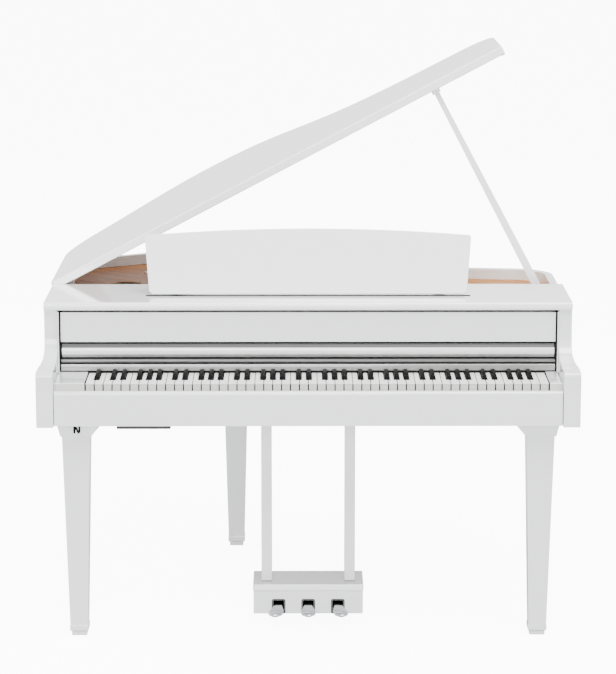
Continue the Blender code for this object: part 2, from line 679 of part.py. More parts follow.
def lid():
    # The lid's points are measured from its hinge line, with the lid flat
    axis = Vector((-rim, 0.0, RIM_TOP + LID_GAP))
    hinge = bpy.data.objects.new("lid_axis", None)
    bpy.context.collection.objects.link(hinge)
    hinge.location = axis
    hinge.rotation_euler = (0, -LID_ANGLE, 0)

    outline = [(x - axis.x, y) for x, y in behind_board(lidInset, boardRear + 0.001)]
    shape = extrusion(outline, 0.0, LID_THICK, "z")
    rounded(piece("lid", shape, WHITE_LACQUER, parent=hinge, smooth=35), LID_ROUND, 2, 50)

    # Long butt hinge along the spine, its knuckles shared between the two leaves
    start = boardRear + HINGE_BEHIND
    end = spineEnd - HINGE_SHORT
    pitch = (end - start) / HINGE_KNUCKLES
    leaf = block(
        (-rim - FIT - HINGE_LEAF, start, RIM_TOP - HINGE_DROP),
        (-rim - FIT, end, RIM_TOP),
    )
    leaf = piece("lid_hinge", leaf, STEEL)
    lidLeaf = block((knuckle + FIT, start, 0.0005), (lidInset - FIT, end, HINGE_DROP))
    lidLeaf = piece("lid_hinge_leaf", lidLeaf, STEEL, parent=hinge)
    for owner, first in ((leaf, 0), (lidLeaf, 1)):
        tabs = []
        barrels = []
        for i in range(first, HINGE_KNUCKLES, 2):
            a = start + i * pitch + FIT
            b = start + (i + 1) * pitch - FIT
            if owner is leaf:
                centre = (axis.x, axis.z)
                outer = -rim - FIT - HINGE_LEAF / 2
                tab = [(outer, RIM_TOP - 0.002), (-rim - FIT - 0.0002, RIM_TOP - 0.002)]
                tab += [(-rim - FIT - 0.0002, RIM_TOP + knuckle), (outer, RIM_TOP + knuckle)]
            else:
                centre = (0.0, 0.0)
                tab = [(0.001, 0.001), (lidInset - 2 * FIT, 0.001), (lidInset - 2 * FIT, 0.002), (0.001, 0.002)]
            barrels.append(extrusion(circle(knuckle, centre, 12), a, b, "y"))
            tabs.append(extrusion(tab, a + FIT, b - FIT, "y"))
        combine(owner, owner.name + "_tabs", merge(tabs), "UNION")
        combine(owner, owner.name + "_knuckles", merge(barrels), "UNION")

    # The prop stands square to the lid
    pin = Vector((rim - PROP_IN, boardRear + PROP_BEHIND, deckTop + PROP_ABOVE))
    run = pin - axis
    along = run.x * math.cos(LID_ANGLE) + run.z * math.sin(LID_ANGLE)
    below = run.x * math.sin(LID_ANGLE) - run.z * math.cos(LID_ANGLE)
    length = below - CUP_BASE - 2 * FIT
    foot = circle(PROP_BASE_WIDTH / 2, (0, 0), 10, math.pi, math.pi)
    tip = PROP_TIP_WIDTH / 2
    outline = foot + [(tip, length), (-tip, length)]
    stick = extrusion(outline, -PROP_THICK / 2, PROP_THICK / 2, "y")
    stick = piece("lid_prop", stick, WHITE_LACQUER, origin=pin, turn=(0, -LID_ANGLE, 0), smooth=35)
    bore = extrusion(circle(PROP_PIN + FIT, (0, 0), 16), -PROP_THICK, PROP_THICK, "y")
    combine(stick, "prop_bore", bore, "DIFFERENCE")

    half = PROP_THICK / 2 + FIT
    out = half + CHEEK_THICK
    plate = PROP_ABOVE - PROP_BASE_WIDTH / 2 - 0.0015
    floor = FIT - PROP_ABOVE
    ears = PROP_BASE_WIDTH / 2
    profile = [(-out, floor), (out, floor), (out, ears), (half, ears)]
    profile += [(half, floor + plate), (-half, floor + plate), (-half, ears), (-out, ears)]
    bracket = extrusion(profile, -PROP_BASE_WIDTH / 2, PROP_BASE_WIDTH / 2, "x")
    bracket = piece("prop_bracket", bracket, STEEL, origin=pin)
    rod = extrusion(circle(PROP_PIN, (0, 0), 16), -out + 0.001, out - 0.001, "y")
    combine(bracket, "prop_pin", rod, "UNION")

    # Cup under the lid, open on the side that the prop folds to
    inX = tip + CUP_CLEAR
    inY = PROP_THICK / 2 + CUP_CLEAR
    low = -FIT - CUP_BASE - CUP_DEPTH
    cup = block(
        (along - inX - CUP_WALL, pin.y - inY - CUP_WALL, low),
        (along + inX + CUP_WALL, pin.y + inY + CUP_WALL, -FIT),
    )
    cup = piece("prop_cup", cup, STEEL, parent=hinge)
    room = block(
        (along - inX - 2 * CUP_WALL, pin.y - inY, low - CUP_WALL),
        (along + inX, pin.y + inY, -FIT - CUP_BASE),
    )
    combine(cup, "cup_room", room, "DIFFERENCE")

    x = 2 * rim - RIM_WALL / 2
    bumper = extrusion(circle(BUMPER_RADIUS, (x, boardRear + 0.020), 16), -LID_GAP + FIT, -FIT, "z")
    piece("lid_bumper", bumper, RUBBER, parent=hinge, smooth=40)


def music_desk():
    # The desk's points are measured from its hinge line, with the desk upright
    line = Vector((0.0, boardFront + DESK_SETBACK, boardTop + FIT + DESK_PIN))
    hinge = bpy.data.objects.new("desk_axis", None)
    bpy.context.collection.objects.link(hinge)
    hinge.location = line
    hinge.rotation_euler = (-DESK_LEAN, 0, 0)
    c = DESK_CORNER
    outline = [(-DESK_FOOT / 2 + c, -0.002), (DESK_FOOT / 2 - c, -0.002), (DESK_FOOT / 2, -0.002 + c)]
    outline.append((DESK_WIDTH / 2, DESK_SIDE - c))
    steps = 16
    for i in range(steps + 1):
        t = i / steps
        x = (DESK_WIDTH / 2 - c / 2) * (1 - 2 * t)
        outline.append((x, DESK_SIDE + DESK_ARCH * (1 - (2 * t - 1) ** 2)))
    outline += [(-DESK_WIDTH / 2, DESK_SIDE - c), (-DESK_FOOT / 2, -0.002 + c)]
    rear = -DESK_PIN - FIT
    shape = extrusion(outline, rear - DESK_THICK, rear, "y")
    rounded(piece("music_desk", shape, WHITE_LACQUER, parent=hinge), 0.002, 2, 60)
    for way, name in ((-1, "desk_hinge_left"), (1, "desk_hinge_right")):
        centre = way * DESK_HINGE_X
        a, b = centre - DESK_HINGE_WIDTH / 2, centre + DESK_HINGE_WIDTH / 2
        leaf = block((a, -DESK_THICK, -DESK_PIN), (b, 0.0, -DESK_PIN + DESK_LEAF))
        made = piece(name, leaf, STEEL, origin=line)
        barrel = extrusion(circle(DESK_PIN, (0, 0), 16), a + FIT, b - FIT, "x")
        combine(made, name + "_barrel", barrel, "UNION")


def square(middleX, middleY, half, z):
    return [
        (middleX - half, middleY - half, z),
        (middleX + half, middleY - half, z),
        (middleX + half, middleY + half, z),
        (middleX - half, middleY + half, z),
    ]


def legs():
    places = (
        ("front_left", -legX, front + LEG_SETBACK, 1),
        ("front_right", legX, front + LEG_SETBACK, -1),
        ("rear", rearLegX, tail - REAR_LEG_IN, 0),
    )
    top = UNDERSIDE - FIT
    collarEnd = top - COLLAR_HEIGHT
    low = FOOT_HEIGHT + FOOT_NECK
    for name, x, y, way in places:
        shift = COLLAR_SHIFT * way
        thin = LEG_BOTTOM / 2
        rings = [
            square(x, y, thin - 0.0015, low),
            square(x, y, thin + CUFF_PROUD, low + 0.003),
            square(x, y, thin + CUFF_PROUD, low + CUFF_HEIGHT),
            square(x, y, thin, low + CUFF_HEIGHT + 0.001),
            square(x, y, LEG_TOP / 2, collarEnd - 0.001),
            square(x, y, COLLAR_BOTTOM / 2, collarEnd),
            square(x + shift * 0.35, y, COLLAR_BOTTOM / 2 + 0.006, collarEnd + COLLAR_HEIGHT * 0.35),
            square(x + shift, y, COLLAR_TOP / 2, top - 0.003),
            square(x + shift, y, COLLAR_TOP / 2, top),
        ]
        rounded(piece("leg_" + name, loft(rings), WHITE_LACQUER), 0.0015, 1, 50)
        neck = FOOT_WIDTH / 2 - 0.006
        rings = [
            square(x, y, FOOT_WIDTH / 2 - 0.001, 0.0),
            square(x, y, FOOT_WIDTH / 2, 0.001),
            square(x, y, FOOT_WIDTH / 2, FOOT_HEIGHT - 0.001),
            square(x, y, FOOT_WIDTH / 2 - 0.001, FOOT_HEIGHT),
            square(x, y, neck, FOOT_HEIGHT),
            square(x, y, neck, low - FIT),
        ]
        piece("foot_" + name, loft(rings), WHITE_LACQUER)


def pedal_lyre():
    boxRear = boxFront + BOX_DEPTH
    body = block((-BOX_WIDTH / 2, boxFront, BOX_BOTTOM), (BOX_WIDTH / 2, boxRear, boxTop))
    box = rounded(piece("pedal_box", body, WHITE_LACQUER), 0.002, 1)
    pockets = []
    slots = []
    for i in (-1, 0, 1):
        x = i * PEDAL_PITCH
        pockets.append(
            block(
                (x - POCKET_WIDTH / 2 - FIT, boxFront + POCKET_WALL, BOX_BOTTOM + POCKET_FLOOR),
                (x + POCKET_WIDTH / 2 + FIT, boxRear - POCKET_WALL, boxTop + 0.010),
            )
        )
        slots.append(
            block(
                (x - SLOT_WIDTH / 2, boxFront - 0.010, BOX_BOTTOM + POCKET_FLOOR + 0.0005),
                (x + SLOT_WIDTH / 2, boxFront + POCKET_WALL + 0.005, BOX_BOTTOM + POCKET_FLOOR + SLOT_HEIGHT),
            )
        )
    combine(box, "pedal_pockets", merge(pockets), "DIFFERENCE")
    combine(box, "pedal_slots", merge(slots), "DIFFERENCE")
    slab = block(
        (-BOX_WIDTH / 2 - SLAB_PROUD, boxFront - SLAB_PROUD, boxTop + FIT),
        (BOX_WIDTH / 2 + SLAB_PROUD, boxRear + SLAB_PROUD, boxTop + FIT + SLAB_THICK),
    )
    rounded(piece("pedal_box_top", slab, WHITE_LACQUER), 0.002, 2)
    for way, name in ((-1, "lyre_post_left"), (1, "lyre_post_right")):
        y = front + POST_SETBACK
        post = block(
            (way * POST_X - POST_WIDTH / 2, y, boxTop + 2 * FIT + SLAB_THICK),
            (way * POST_X + POST_WIDTH / 2, y + POST_DEPTH, UNDERSIDE - FIT),
        )
        rounded(piece(name, post, WHITE_LACQUER), 0.0025, 2)

    # A pedal's points are measured from its pivot, at the rear of its pocket
    pivotY = boxRear - POCKET_WALL - HUB_RADIUS - 0.0015
    pivotZ = BOX_BOTTOM + POCKET_FLOOR + 0.5 * SLOT_HEIGHT + 0.004
    reach = pivotY - boxFront + PEDAL_REACH
    neck = PEDAL_NECK / 2
    pad = PEDAL_PAD / 2
    for i, name in ((-1, "pedal_soft"), (0, "pedal_sostenuto"), (1, "pedal_sustain")):
        stations = 15
        rings = []
        for k in range(stations + 1):
            t = k / stations
            # The width grows along the visible part and closes in a round tip
            out = max(0.0, (t - 0.62) / 0.38)
            swell = out * out * (3 - 2 * out)
            half = neck + (pad - neck) * min(1.0, swell * 1.25)
            if out > 0.70:
                half *= math.sqrt(max(0.05, 1 - ((out - 0.70) / 0.30) ** 2 * 0.93))
            drop = -0.012 * swell
            x = i * PEDAL_SWEEP * swell
            y = -0.004 - (reach - 0.004) * t
            thick = PEDAL_THICK / 2
            rings.append(
                [
                    (x - half * 0.82, y, drop - thick),
                    (x + half * 0.82, y, drop - thick),
                    (x + half, y, drop),
                    (x + half * 0.82, y, drop + thick),
                    (x - half * 0.82, y, drop + thick),
                    (x - half, y, drop),
                ]
            )
        origin = (i * PEDAL_PITCH, pivotY, pivotZ)
        pedal = piece(name, loft(rings), CHROME, origin=origin, smooth=45)
        hub = extrusion(circle(HUB_RADIUS, (0, 0), 20), -POCKET_WIDTH / 2, POCKET_WIDTH / 2, "x")
        combine(pedal, name + "_hub", hub, "UNION")


def small_parts():
    width, depth, height = JACK_SIZE
    y = front + JACK_SETBACK
    top = UNDERSIDE - FIT
    shape = block((jackX - width / 2, y, top - height), (jackX + width / 2, y + depth, top))
    rounded(piece("jack_box", shape, BLACK_PLASTIC), 0.0015, 2)

    # Headphone hook under the key slip: a foot plate, a stem and a lip that turns up towards the player
    y = slipRear - 0.002
    w = HOOK_WIRE
    z = UNDERSIDE + SLIP_LIFT - FIT
    tip = y - HOOK_REACH
    profile = [
        (y, z), (tip, z), (tip, z - w * 0.7), (y - w, z - w * 0.7), (y - w, z - HOOK_DROP + w),
        (tip + w, z - HOOK_DROP + w), (tip + w, z - HOOK_DROP + 3 * w), (tip, z - HOOK_DROP + 3 * w),
        (tip, z - HOOK_DROP), (y, z - HOOK_DROP),
    ]
    hook = extrusion(profile, hookX - HOOK_WIDTH / 2, hookX + HOOK_WIDTH / 2, "x")
    piece("headphone_hanger", hook, BLACK_PLASTIC)

    for x, name in zip(speakerX, ("speaker_left", "speaker_right")):
        z = deckTop - DECK_THICK - FIT
        steps = ((0.012, 0.0), (0.012, 0.003), (0.004, 0.005), (-0.010, 0.022), (-0.016, 0.030))
        rings = []
        outer = [(SPEAKER_RADIUS + grow, z - drop) for grow, drop in steps]
        outer += [(SPEAKER_RADIUS - 0.012, z - 0.032), (SPEAKER_RADIUS - 0.012, z - SPEAKER_DEPTH)]
        inner = [(0.010, z - 0.024), (SPEAKER_RADIUS * 0.5, z - 0.018), (SPEAKER_RADIUS, z - 0.0)]
        for radius, height in inner + outer:
            rings.append([(a, b, height) for a, b in circle(radius, (x, speakerY), 24)])
        piece(name, loft(rings), BLACK_PLASTIC, smooth=35)

    floor = bottomTop + FIT
    x, y = -rim + CIRCUIT_IN, boardRear - BELLY_THICK - CIRCUIT_AHEAD
    wide, deep, thick = CIRCUIT_SIZE
    circuit = block((x - wide / 2, y - deep, floor), (x + wide / 2, y, floor + thick))
    piece("main_circuit_board", circuit, BOARD_GREEN)
    x, y = rim - SUPPLY_IN, boardRear + SUPPLY_BEHIND
    wide, deep, thick = SUPPLY_SIZE
    supply = block((x - wide / 2, y, floor), (x + wide / 2, y + deep, floor + thick))
    rounded(piece("power_supply", supply, SUPPLY_GREY), 0.002, 1)


case()
key_cover()
keyboard()
lid()
music_desk()
legs()
pedal_lyre()
small_parts()
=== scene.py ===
import json
import math

import bmesh
import bpy
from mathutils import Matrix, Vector

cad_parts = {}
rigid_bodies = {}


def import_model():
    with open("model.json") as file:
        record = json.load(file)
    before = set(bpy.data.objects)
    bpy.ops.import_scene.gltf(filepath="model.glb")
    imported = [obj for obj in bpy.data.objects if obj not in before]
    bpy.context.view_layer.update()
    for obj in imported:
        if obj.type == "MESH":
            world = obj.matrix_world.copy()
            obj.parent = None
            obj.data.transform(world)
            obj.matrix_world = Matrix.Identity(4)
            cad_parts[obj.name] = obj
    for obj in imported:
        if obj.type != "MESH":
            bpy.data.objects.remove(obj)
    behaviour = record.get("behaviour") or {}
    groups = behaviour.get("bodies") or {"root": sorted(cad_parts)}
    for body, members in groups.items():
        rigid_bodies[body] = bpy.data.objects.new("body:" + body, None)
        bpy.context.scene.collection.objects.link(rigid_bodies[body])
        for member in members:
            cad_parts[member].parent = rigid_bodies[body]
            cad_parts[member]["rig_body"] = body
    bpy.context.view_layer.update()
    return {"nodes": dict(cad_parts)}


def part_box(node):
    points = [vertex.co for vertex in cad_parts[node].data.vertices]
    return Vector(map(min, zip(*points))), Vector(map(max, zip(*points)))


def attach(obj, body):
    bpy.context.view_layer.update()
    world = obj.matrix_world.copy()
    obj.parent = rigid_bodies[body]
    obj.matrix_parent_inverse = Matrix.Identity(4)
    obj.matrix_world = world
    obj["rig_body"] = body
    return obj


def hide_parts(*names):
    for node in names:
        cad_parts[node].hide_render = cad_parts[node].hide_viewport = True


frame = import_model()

nodes = frame["nodes"]
print("frame loaded:", len(nodes), "CAD nodes")


def linked(name, data):
    made = bpy.data.objects.new(name, data)
    bpy.context.scene.collection.objects.link(made)
    return made


# camera, fitted to the photograph
cameraSet = {
    "place": (-0.029, -7.534, 2.175), "turn": (79.02, 0.0, -0.23),
    "lens": 144.2, "sensor": 36.0,
}


def makeCamera():
    data = bpy.data.cameras.new("pianoCamera")
    data.lens, data.sensor_width = cameraSet["lens"], cameraSet["sensor"]
    camera = linked("pianoCamera", data)
    camera.location = cameraSet["place"]
    camera.rotation_euler = [math.radians(angle) for angle in cameraSet["turn"]]
    bpy.context.scene.camera = camera
    print("camera placed")


# shader node groups
shaderSet = {
    "noiseLow": 0.3, "noiseHigh": 0.7,  # most of a noise lies between these
    "patchDetail": 4.0, "rippleDetail": 2.0, "wideDetail": 5.0, "wideRough": 0.62,
    "fineDetail": 3.0, "fineScale": 5.5, "fineShare": 0.35,
    "bandLow": 0.45, "bandHigh": 0.92,
    "coatRoughness": 0.04, "bumpDepth": 0.0005,
}
colour, number, vector = "NodeSocketColor", "NodeSocketFloat", "NodeSocketVector"


def startGroup(name, inputs):
    group = bpy.data.node_groups.new(name, "ShaderNodeTree")
    for label, kind in inputs:
        group.interface.new_socket(label, in_out="INPUT", socket_type=kind)
    for label, kind in (("Colour", colour), ("Roughness", number), ("Height", number)):
        group.interface.new_socket(label, in_out="OUTPUT", socket_type=kind)
    return group, group.nodes.new("NodeGroupInput"), group.nodes.new("NodeGroupOutput")


def endGroup(group, outward, tone, gloss, height):
    group.links.new(tone, outward.inputs["Colour"])
    group.links.new(gloss, outward.inputs["Roughness"])
    group.links.new(height, outward.inputs["Height"])
    return group


def feed(tree, value, socket):
    if isinstance(value, (int, float)):
        socket.default_value = value
    else:
        tree.links.new(value, socket)


def maths(tree, operation, *values):
    made = tree.nodes.new("ShaderNodeMath")
    made.operation = operation
    for value, socket in zip(values, made.inputs):
        feed(tree, value, socket)
    return made.outputs[0]


def noise(group, place, scale, detail, roughness=0.5):
    made = group.nodes.new("ShaderNodeTexNoise")
    group.links.new(place, made.inputs["Vector"])
    feed(group, scale, made.inputs["Scale"])
    feed(group, detail, made.inputs["Detail"])
    feed(group, roughness, made.inputs["Roughness"])
    return made.outputs["Fac"]


def mixColour(group, factor, first, second):
    made = group.nodes.new("ShaderNodeMix")
    made.data_type = "RGBA"
    for source, socket in ((factor, 0), (first, 6), (second, 7)):  # the sockets for colours
        group.links.new(source, made.inputs[socket])
    return made.outputs[2]


def spread(group, value, fromLow, fromHigh, low=0.0, high=1.0):
    made = group.nodes.new("ShaderNodeMapRange")
    group.links.new(value, made.inputs["Value"])
    for source, label in ((fromLow, "From Min"), (fromHigh, "From Max"), (low, "To Min"), (high, "To Max")):
        feed(group, source, made.inputs[label])
    return made.outputs["Result"]


def glossOf(group, inward, value):
    return spread(group, value, shaderSet["noiseLow"], shaderSet["noiseHigh"],
                  inward.outputs["Gloss Low"], inward.outputs["Gloss High"])


def skinGroup():
    group, inward, outward = startGroup("evenSkin", [
        ("Tone", colour), ("Second Tone", colour), ("Patch Scale", number),
        ("Ripple Scale", number), ("Gloss Low", number), ("Gloss High", number),
    ])
    place = group.nodes.new("ShaderNodeTexCoord").outputs["Object"]
    patches = noise(group, place, inward.outputs["Patch Scale"], shaderSet["patchDetail"])
    ripple = noise(group, place, inward.outputs["Ripple Scale"], shaderSet["rippleDetail"])
    tone = mixColour(group, patches, inward.outputs["Tone"], inward.outputs["Second Tone"])
    return endGroup(group, outward, tone, glossOf(group, inward, patches), ripple)


def streakGroup():
    group, inward, outward = startGroup("grainStreaks", [
        ("Pale", colour), ("Dark", colour), ("Turn", vector),
        ("Stretch", vector), ("Gloss Low", number), ("Gloss High", number),
    ])
    place = group.nodes.new("ShaderNodeTexCoord").outputs["Object"]
    turned = group.nodes.new("ShaderNodeVectorRotate")
    turned.rotation_type = "EULER_XYZ"
    group.links.new(place, turned.inputs["Vector"])
    group.links.new(inward.outputs["Turn"], turned.inputs["Rotation"])
    stretch = group.nodes.new("ShaderNodeVectorMath")
    stretch.operation = "MULTIPLY"
    group.links.new(turned.outputs["Vector"], stretch.inputs[0])
    group.links.new(inward.outputs["Stretch"], stretch.inputs[1])
    along = stretch.outputs["Vector"]
    wide = noise(group, along, 1.0, shaderSet["wideDetail"], shaderSet["wideRough"])
    fine = noise(group, along, shaderSet["fineScale"], shaderSet["fineDetail"])
    both = maths(group, "MULTIPLY_ADD", fine, shaderSet["fineShare"], wide)
    band = spread(group, both, shaderSet["bandLow"], shaderSet["bandHigh"])
    tone = mixColour(group, band, inward.outputs["Pale"], inward.outputs["Dark"])
    return endGroup(group, outward, tone, glossOf(group, inward, fine), fine)


evenSkin = skinGroup()
grainStreaks = streakGroup()

# materials: those with a stretch are streaked, the others are even
looks = {
    "whiteLacquer": {
        "tones": ((0.80, 0.81, 0.815), (0.785, 0.795, 0.80)),
        "patch": 2.2, "ripple": 90.0, "gloss": (0.06, 0.10), "bump": 0.010, "coat": 1.0,
    },
    # brighter copy of the white lacquer: painted light
    "whiteLacquerLit": {
        "tones": ((0.93, 0.935, 0.94), (0.91, 0.915, 0.92)),
        "patch": 2.2, "ripple": 90.0, "gloss": (0.06, 0.10), "bump": 0.010, "coat": 1.0,
    },
    # darker copy of the white lacquer: painted shade
    "whiteLacquerPaintedShade": {
        "tones": ((0.31, 0.31, 0.31), (0.29, 0.29, 0.29)),
        "patch": 2.2, "ripple": 90.0, "gloss": (0.20, 0.28), "bump": 0.010, "coat": 0.3,
    },
    "ivoryKeys": {
        "tones": ((0.93, 0.93, 0.91), (0.91, 0.91, 0.885)),
        "patch": 30.0, "ripple": 900.0, "gloss": (0.22, 0.32), "bump": 0.03,
    },
    # darker copy of the ivory for the fronts of the keys and key blocks: painted shade on the faces that
    # look forward
    "keyFrontsPaintedShade": {
        "tones": ((0.60, 0.60, 0.585), (0.55, 0.55, 0.535)),
        "patch": 30.0, "ripple": 900.0, "gloss": (0.30, 0.40), "bump": 0.03, "sheen": 0.3,
    },
    # grey for the rail strip's front under the bar: painted shade
    "railPaintedShade": {
        "tones": ((0.33, 0.33, 0.32), (0.24, 0.24, 0.234)),
        "patch": 55.0, "ripple": 120.0, "gloss": (0.12, 0.20), "bump": 0.02, "coat": 0.4,
    },
    # near-black streaked wood for the white keys' sides and the key bed: wood grain, darkened as painted
    # shade between and under the keys
    "keyWood": {
        "tones": ((0.035, 0.027, 0.020), (0.02, 0.015, 0.011)),
        "stretch": (120.0, 6.0, 120.0), "gloss": (0.5, 0.65), "bump": 0.05, "sheen": 0.2,
    },
    "ebonyKeys": {
        "tones": ((0.003, 0.003, 0.0035), (0.006, 0.006, 0.0065)),
        "patch": 40.0, "ripple": 1200.0, "gloss": (0.34, 0.50), "bump": 0.05, "sheen": 0.03,
    },
    "pedalChrome": {
        "tones": ((0.52, 0.53, 0.54), (0.45, 0.46, 0.47)),
        "patch": 25.0, "ripple": 700.0, "gloss": (0.05, 0.12), "bump": 0.01, "metallic": 1.0,
    },
    "hingeSteel": {
        "tones": ((0.62, 0.63, 0.64), (0.48, 0.49, 0.50)),
        "stretch": (40.0, 900.0, 900.0), "gloss": (0.24, 0.40), "bump": 0.03, "metallic": 1.0,
    },
    "trimGrey": {
        "tones": ((0.24, 0.24, 0.237), (0.17, 0.17, 0.168)),
        "stretch": (12.0, 900.0, 900.0), "gloss": (0.30, 0.42), "bump": 0.02, "metallic": 0.35,
    },
    # dark grey for the top band of the turning nose: painted shade on the bar's upper front faces
    "barTopPaintedShade": {
        "tones": ((0.085, 0.085, 0.084), (0.055, 0.055, 0.054)),
        "stretch": (12.0, 900.0, 900.0), "gloss": (0.38, 0.50), "bump": 0.02, "sheen": 0.25,
    },
    "deckSpruce": {
        "tones": ((0.58, 0.26, 0.080), (0.28, 0.095, 0.022)), "turn": 38.0,
        "stretch": (5.0, 80.0, 80.0), "gloss": (0.34, 0.48), "bump": 0.04, "sheen": 0.06,
    },
    "railWood": {
        "tones": ((0.40, 0.21, 0.09), (0.26, 0.12, 0.045)),
        "stretch": (4.0, 90.0, 140.0), "gloss": (0.40, 0.55), "bump": 0.04, "sheen": 0.2,
    },
    "blackPlastic": {
        "tones": ((0.016, 0.016, 0.017), (0.024, 0.024, 0.025)),
        "patch": 60.0, "ripple": 1800.0, "gloss": (0.38, 0.52), "bump": 0.10,
    },
    # black for blocks in the gaps and the pedal box hollow: painted shade
    "blackFelt": {
        "tones": ((0.006, 0.006, 0.006), (0.012, 0.012, 0.012)),
        "patch": 220.0, "ripple": 2600.0, "gloss": (0.85, 0.97), "bump": 0.35, "sheen": 0.1,
    },
    "circuitGreen": {
        "tones": ((0.02, 0.16, 0.06), (0.04, 0.24, 0.10)),
        "patch": 120.0, "ripple": 900.0, "gloss": (0.35, 0.5), "bump": 0.12,
    },
    "sheetGrey": {
        "tones": ((0.45, 0.46, 0.47), (0.36, 0.37, 0.38)),
        "stretch": (500.0, 30.0, 500.0), "gloss": (0.35, 0.5), "bump": 0.04, "metallic": 1.0,
    },
    "softRubber": {
        "tones": ((0.03, 0.03, 0.03), (0.045, 0.045, 0.045)),
        "patch": 150.0, "ripple": 2400.0, "gloss": (0.7, 0.85), "bump": 0.15,
    },
}


def makeLook(name, values):
    made = bpy.data.materials.new(name)
    made.use_nodes = True
    tree = made.node_tree
    shader = tree.nodes["Principled BSDF"]
    use = tree.nodes.new("ShaderNodeGroup")
    first, second = values["tones"]
    if "stretch" in values:
        use.node_tree = grainStreaks
        settings = {"Pale": (*first, 1.0), "Dark": (*second, 1.0), "Stretch": values["stretch"]}
        settings["Turn"] = (0.0, 0.0, math.radians(values.get("turn", 0.0)))
    else:
        use.node_tree = evenSkin
        settings = {"Tone": (*first, 1.0), "Second Tone": (*second, 1.0)}
        settings["Patch Scale"], settings["Ripple Scale"] = values["patch"], values["ripple"]
    settings["Gloss Low"], settings["Gloss High"] = values["gloss"]
    for label, value in settings.items():
        use.inputs[label].default_value = value
    tree.links.new(use.outputs["Colour"], shader.inputs["Base Color"])
    tree.links.new(use.outputs["Roughness"], shader.inputs["Roughness"])
    shader.inputs["Metallic"].default_value = values.get("metallic", 0.0)
    shader.inputs["Coat Weight"].default_value = values.get("coat", 0.0)
    shader.inputs["Coat Roughness"].default_value = shaderSet["coatRoughness"]
    shader.inputs["Specular IOR Level"].default_value = values.get("sheen", 0.5)
    relief = tree.nodes.new("ShaderNodeBump")
    relief.inputs["Strength"].default_value = values["bump"]
    relief.inputs["Distance"].default_value = shaderSet["bumpDepth"]
    tree.links.new(use.outputs["Height"], relief.inputs["Height"])
    tree.links.new(relief.outputs["Normal"], shader.inputs["Normal"])
    return made


finish = {name: makeLook(name, values) for name, values in looks.items()}
print("materials made:", len(finish))

# mesh helpers
meshSet = {
    "merge": 2e-5, "flatAngle": 0.4,  # CAD points this close and faces this flat are joined
    "bevelAngle": 35, "bevelSteps": 3, "sharpAngle": 35, "faceWeight": 90,
    "copySharp": 40, "wireSharp": 50, "wireRound": 3, "wireSteps": 6,
    "ringSides": 40, "ringWireSides": 6,
}


def place(name, shape, finishes, body, smooth=None):
    mesh = bpy.data.meshes.new(name)
    shape.to_mesh(mesh)
    shape.free()
    for each in finishes if isinstance(finishes, (list, tuple)) else [finishes]:
        mesh.materials.append(finish[each])
    if smooth is not None:
        mesh.shade_smooth()
        mesh.set_sharp_from_angle(angle=math.radians(smooth))
    made = linked(name, mesh)
    if body:
        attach(made, body)
    return made


def softEdges(made, width, segments=2, angle=meshSet["bevelAngle"]):
    bevel = made.modifiers.new("softEdges", "BEVEL")
    bevel.width, bevel.segments = width, segments
    bevel.limit_method = "ANGLE"
    bevel.angle_limit = math.radians(angle)
    bevel.harden_normals = True
    return made


# a finished copy of a CAD node; sort picks a finish for each face by its middle
def dressed(node, finishes, edge=0.0, smooth=meshSet["sharpAngle"], sort=None):
    source = nodes[node]
    shape = bmesh.new()
    shape.from_mesh(source.data)
    bmesh.ops.remove_doubles(shape, verts=shape.verts, dist=meshSet["merge"])
    flat = math.radians(meshSet["flatAngle"])
    bmesh.ops.dissolve_limit(shape, angle_limit=flat, verts=shape.verts, edges=shape.edges)
    for face in shape.faces:
        face.material_index = sort(face.calc_center_median()) if sort else 0
    made = place(node + ".finished", shape, finishes, source["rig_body"], smooth)
    if edge:
        made.data.shade_smooth()  # clears the sharp edges, the bevel takes their place
        softEdges(made, edge, meshSet["bevelSteps"])
    else:
        weighted = made.modifiers.new("flatFaces", "WEIGHTED_NORMAL")
        weighted.weight, weighted.keep_sharp = meshSet["faceWeight"], True
    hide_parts(node)
    return made


def turnedOut(shape):
    bmesh.ops.recalc_face_normals(shape, faces=shape.faces)
    return shape


def joinLoops(shape, near, far):
    for i in range(len(near)):
        j = (i + 1) % len(near)
        shape.faces.new((near[i], near[j], far[j], far[i]))


def prism(shape, outline, low, high):
    below = [shape.verts.new((x, y, low)) for x, y in outline]
    above = [shape.verts.new((x, y, high)) for x, y in outline]
    shape.faces.new(list(reversed(below)))
    shape.faces.new(above)
    joinLoops(shape, below, above)


def blockShape(shape, low, high):
    (left, front, base), (right, rear, top) = low, high
    prism(shape, [(left, front), (right, front), (right, rear), (left, rear)], base, top)


def sideways(shape, profile, left, right):
    near = [shape.verts.new((left, y, z)) for y, z in profile]
    far = [shape.verts.new((right, y, z)) for y, z in profile]
    shape.faces.new(near)
    shape.faces.new(list(reversed(far)))
    for i in range(len(profile)):
        j = (i + 1) % len(profile)
        shape.faces.new((near[i], far[i], far[j], near[j]))


def sided(way, near, far):
    return sorted((way * near, way * far))


# Geometry Nodes
def startTree(name, inputs):
    tree = bpy.data.node_groups.new(name, "GeometryNodeTree")
    for label, kind in inputs:
        tree.interface.new_socket(label, in_out="INPUT", socket_type="NodeSocket" + kind)
    tree.interface.new_socket("Geometry", in_out="OUTPUT", socket_type="NodeSocketGeometry")
    return tree, tree.nodes.new("NodeGroupInput"), tree.nodes.new("NodeGroupOutput")


def endTree(tree, inward, outward, last):
    real = tree.nodes.new("GeometryNodeRealizeInstances")
    paint = tree.nodes.new("GeometryNodeSetMaterial")
    tree.links.new(last, real.inputs["Geometry"])
    tree.links.new(real.outputs["Geometry"], paint.inputs["Geometry"])
    tree.links.new(inward.outputs["Finish"], paint.inputs["Material"])
    tree.links.new(paint.outputs["Geometry"], outward.inputs["Geometry"])
    return tree


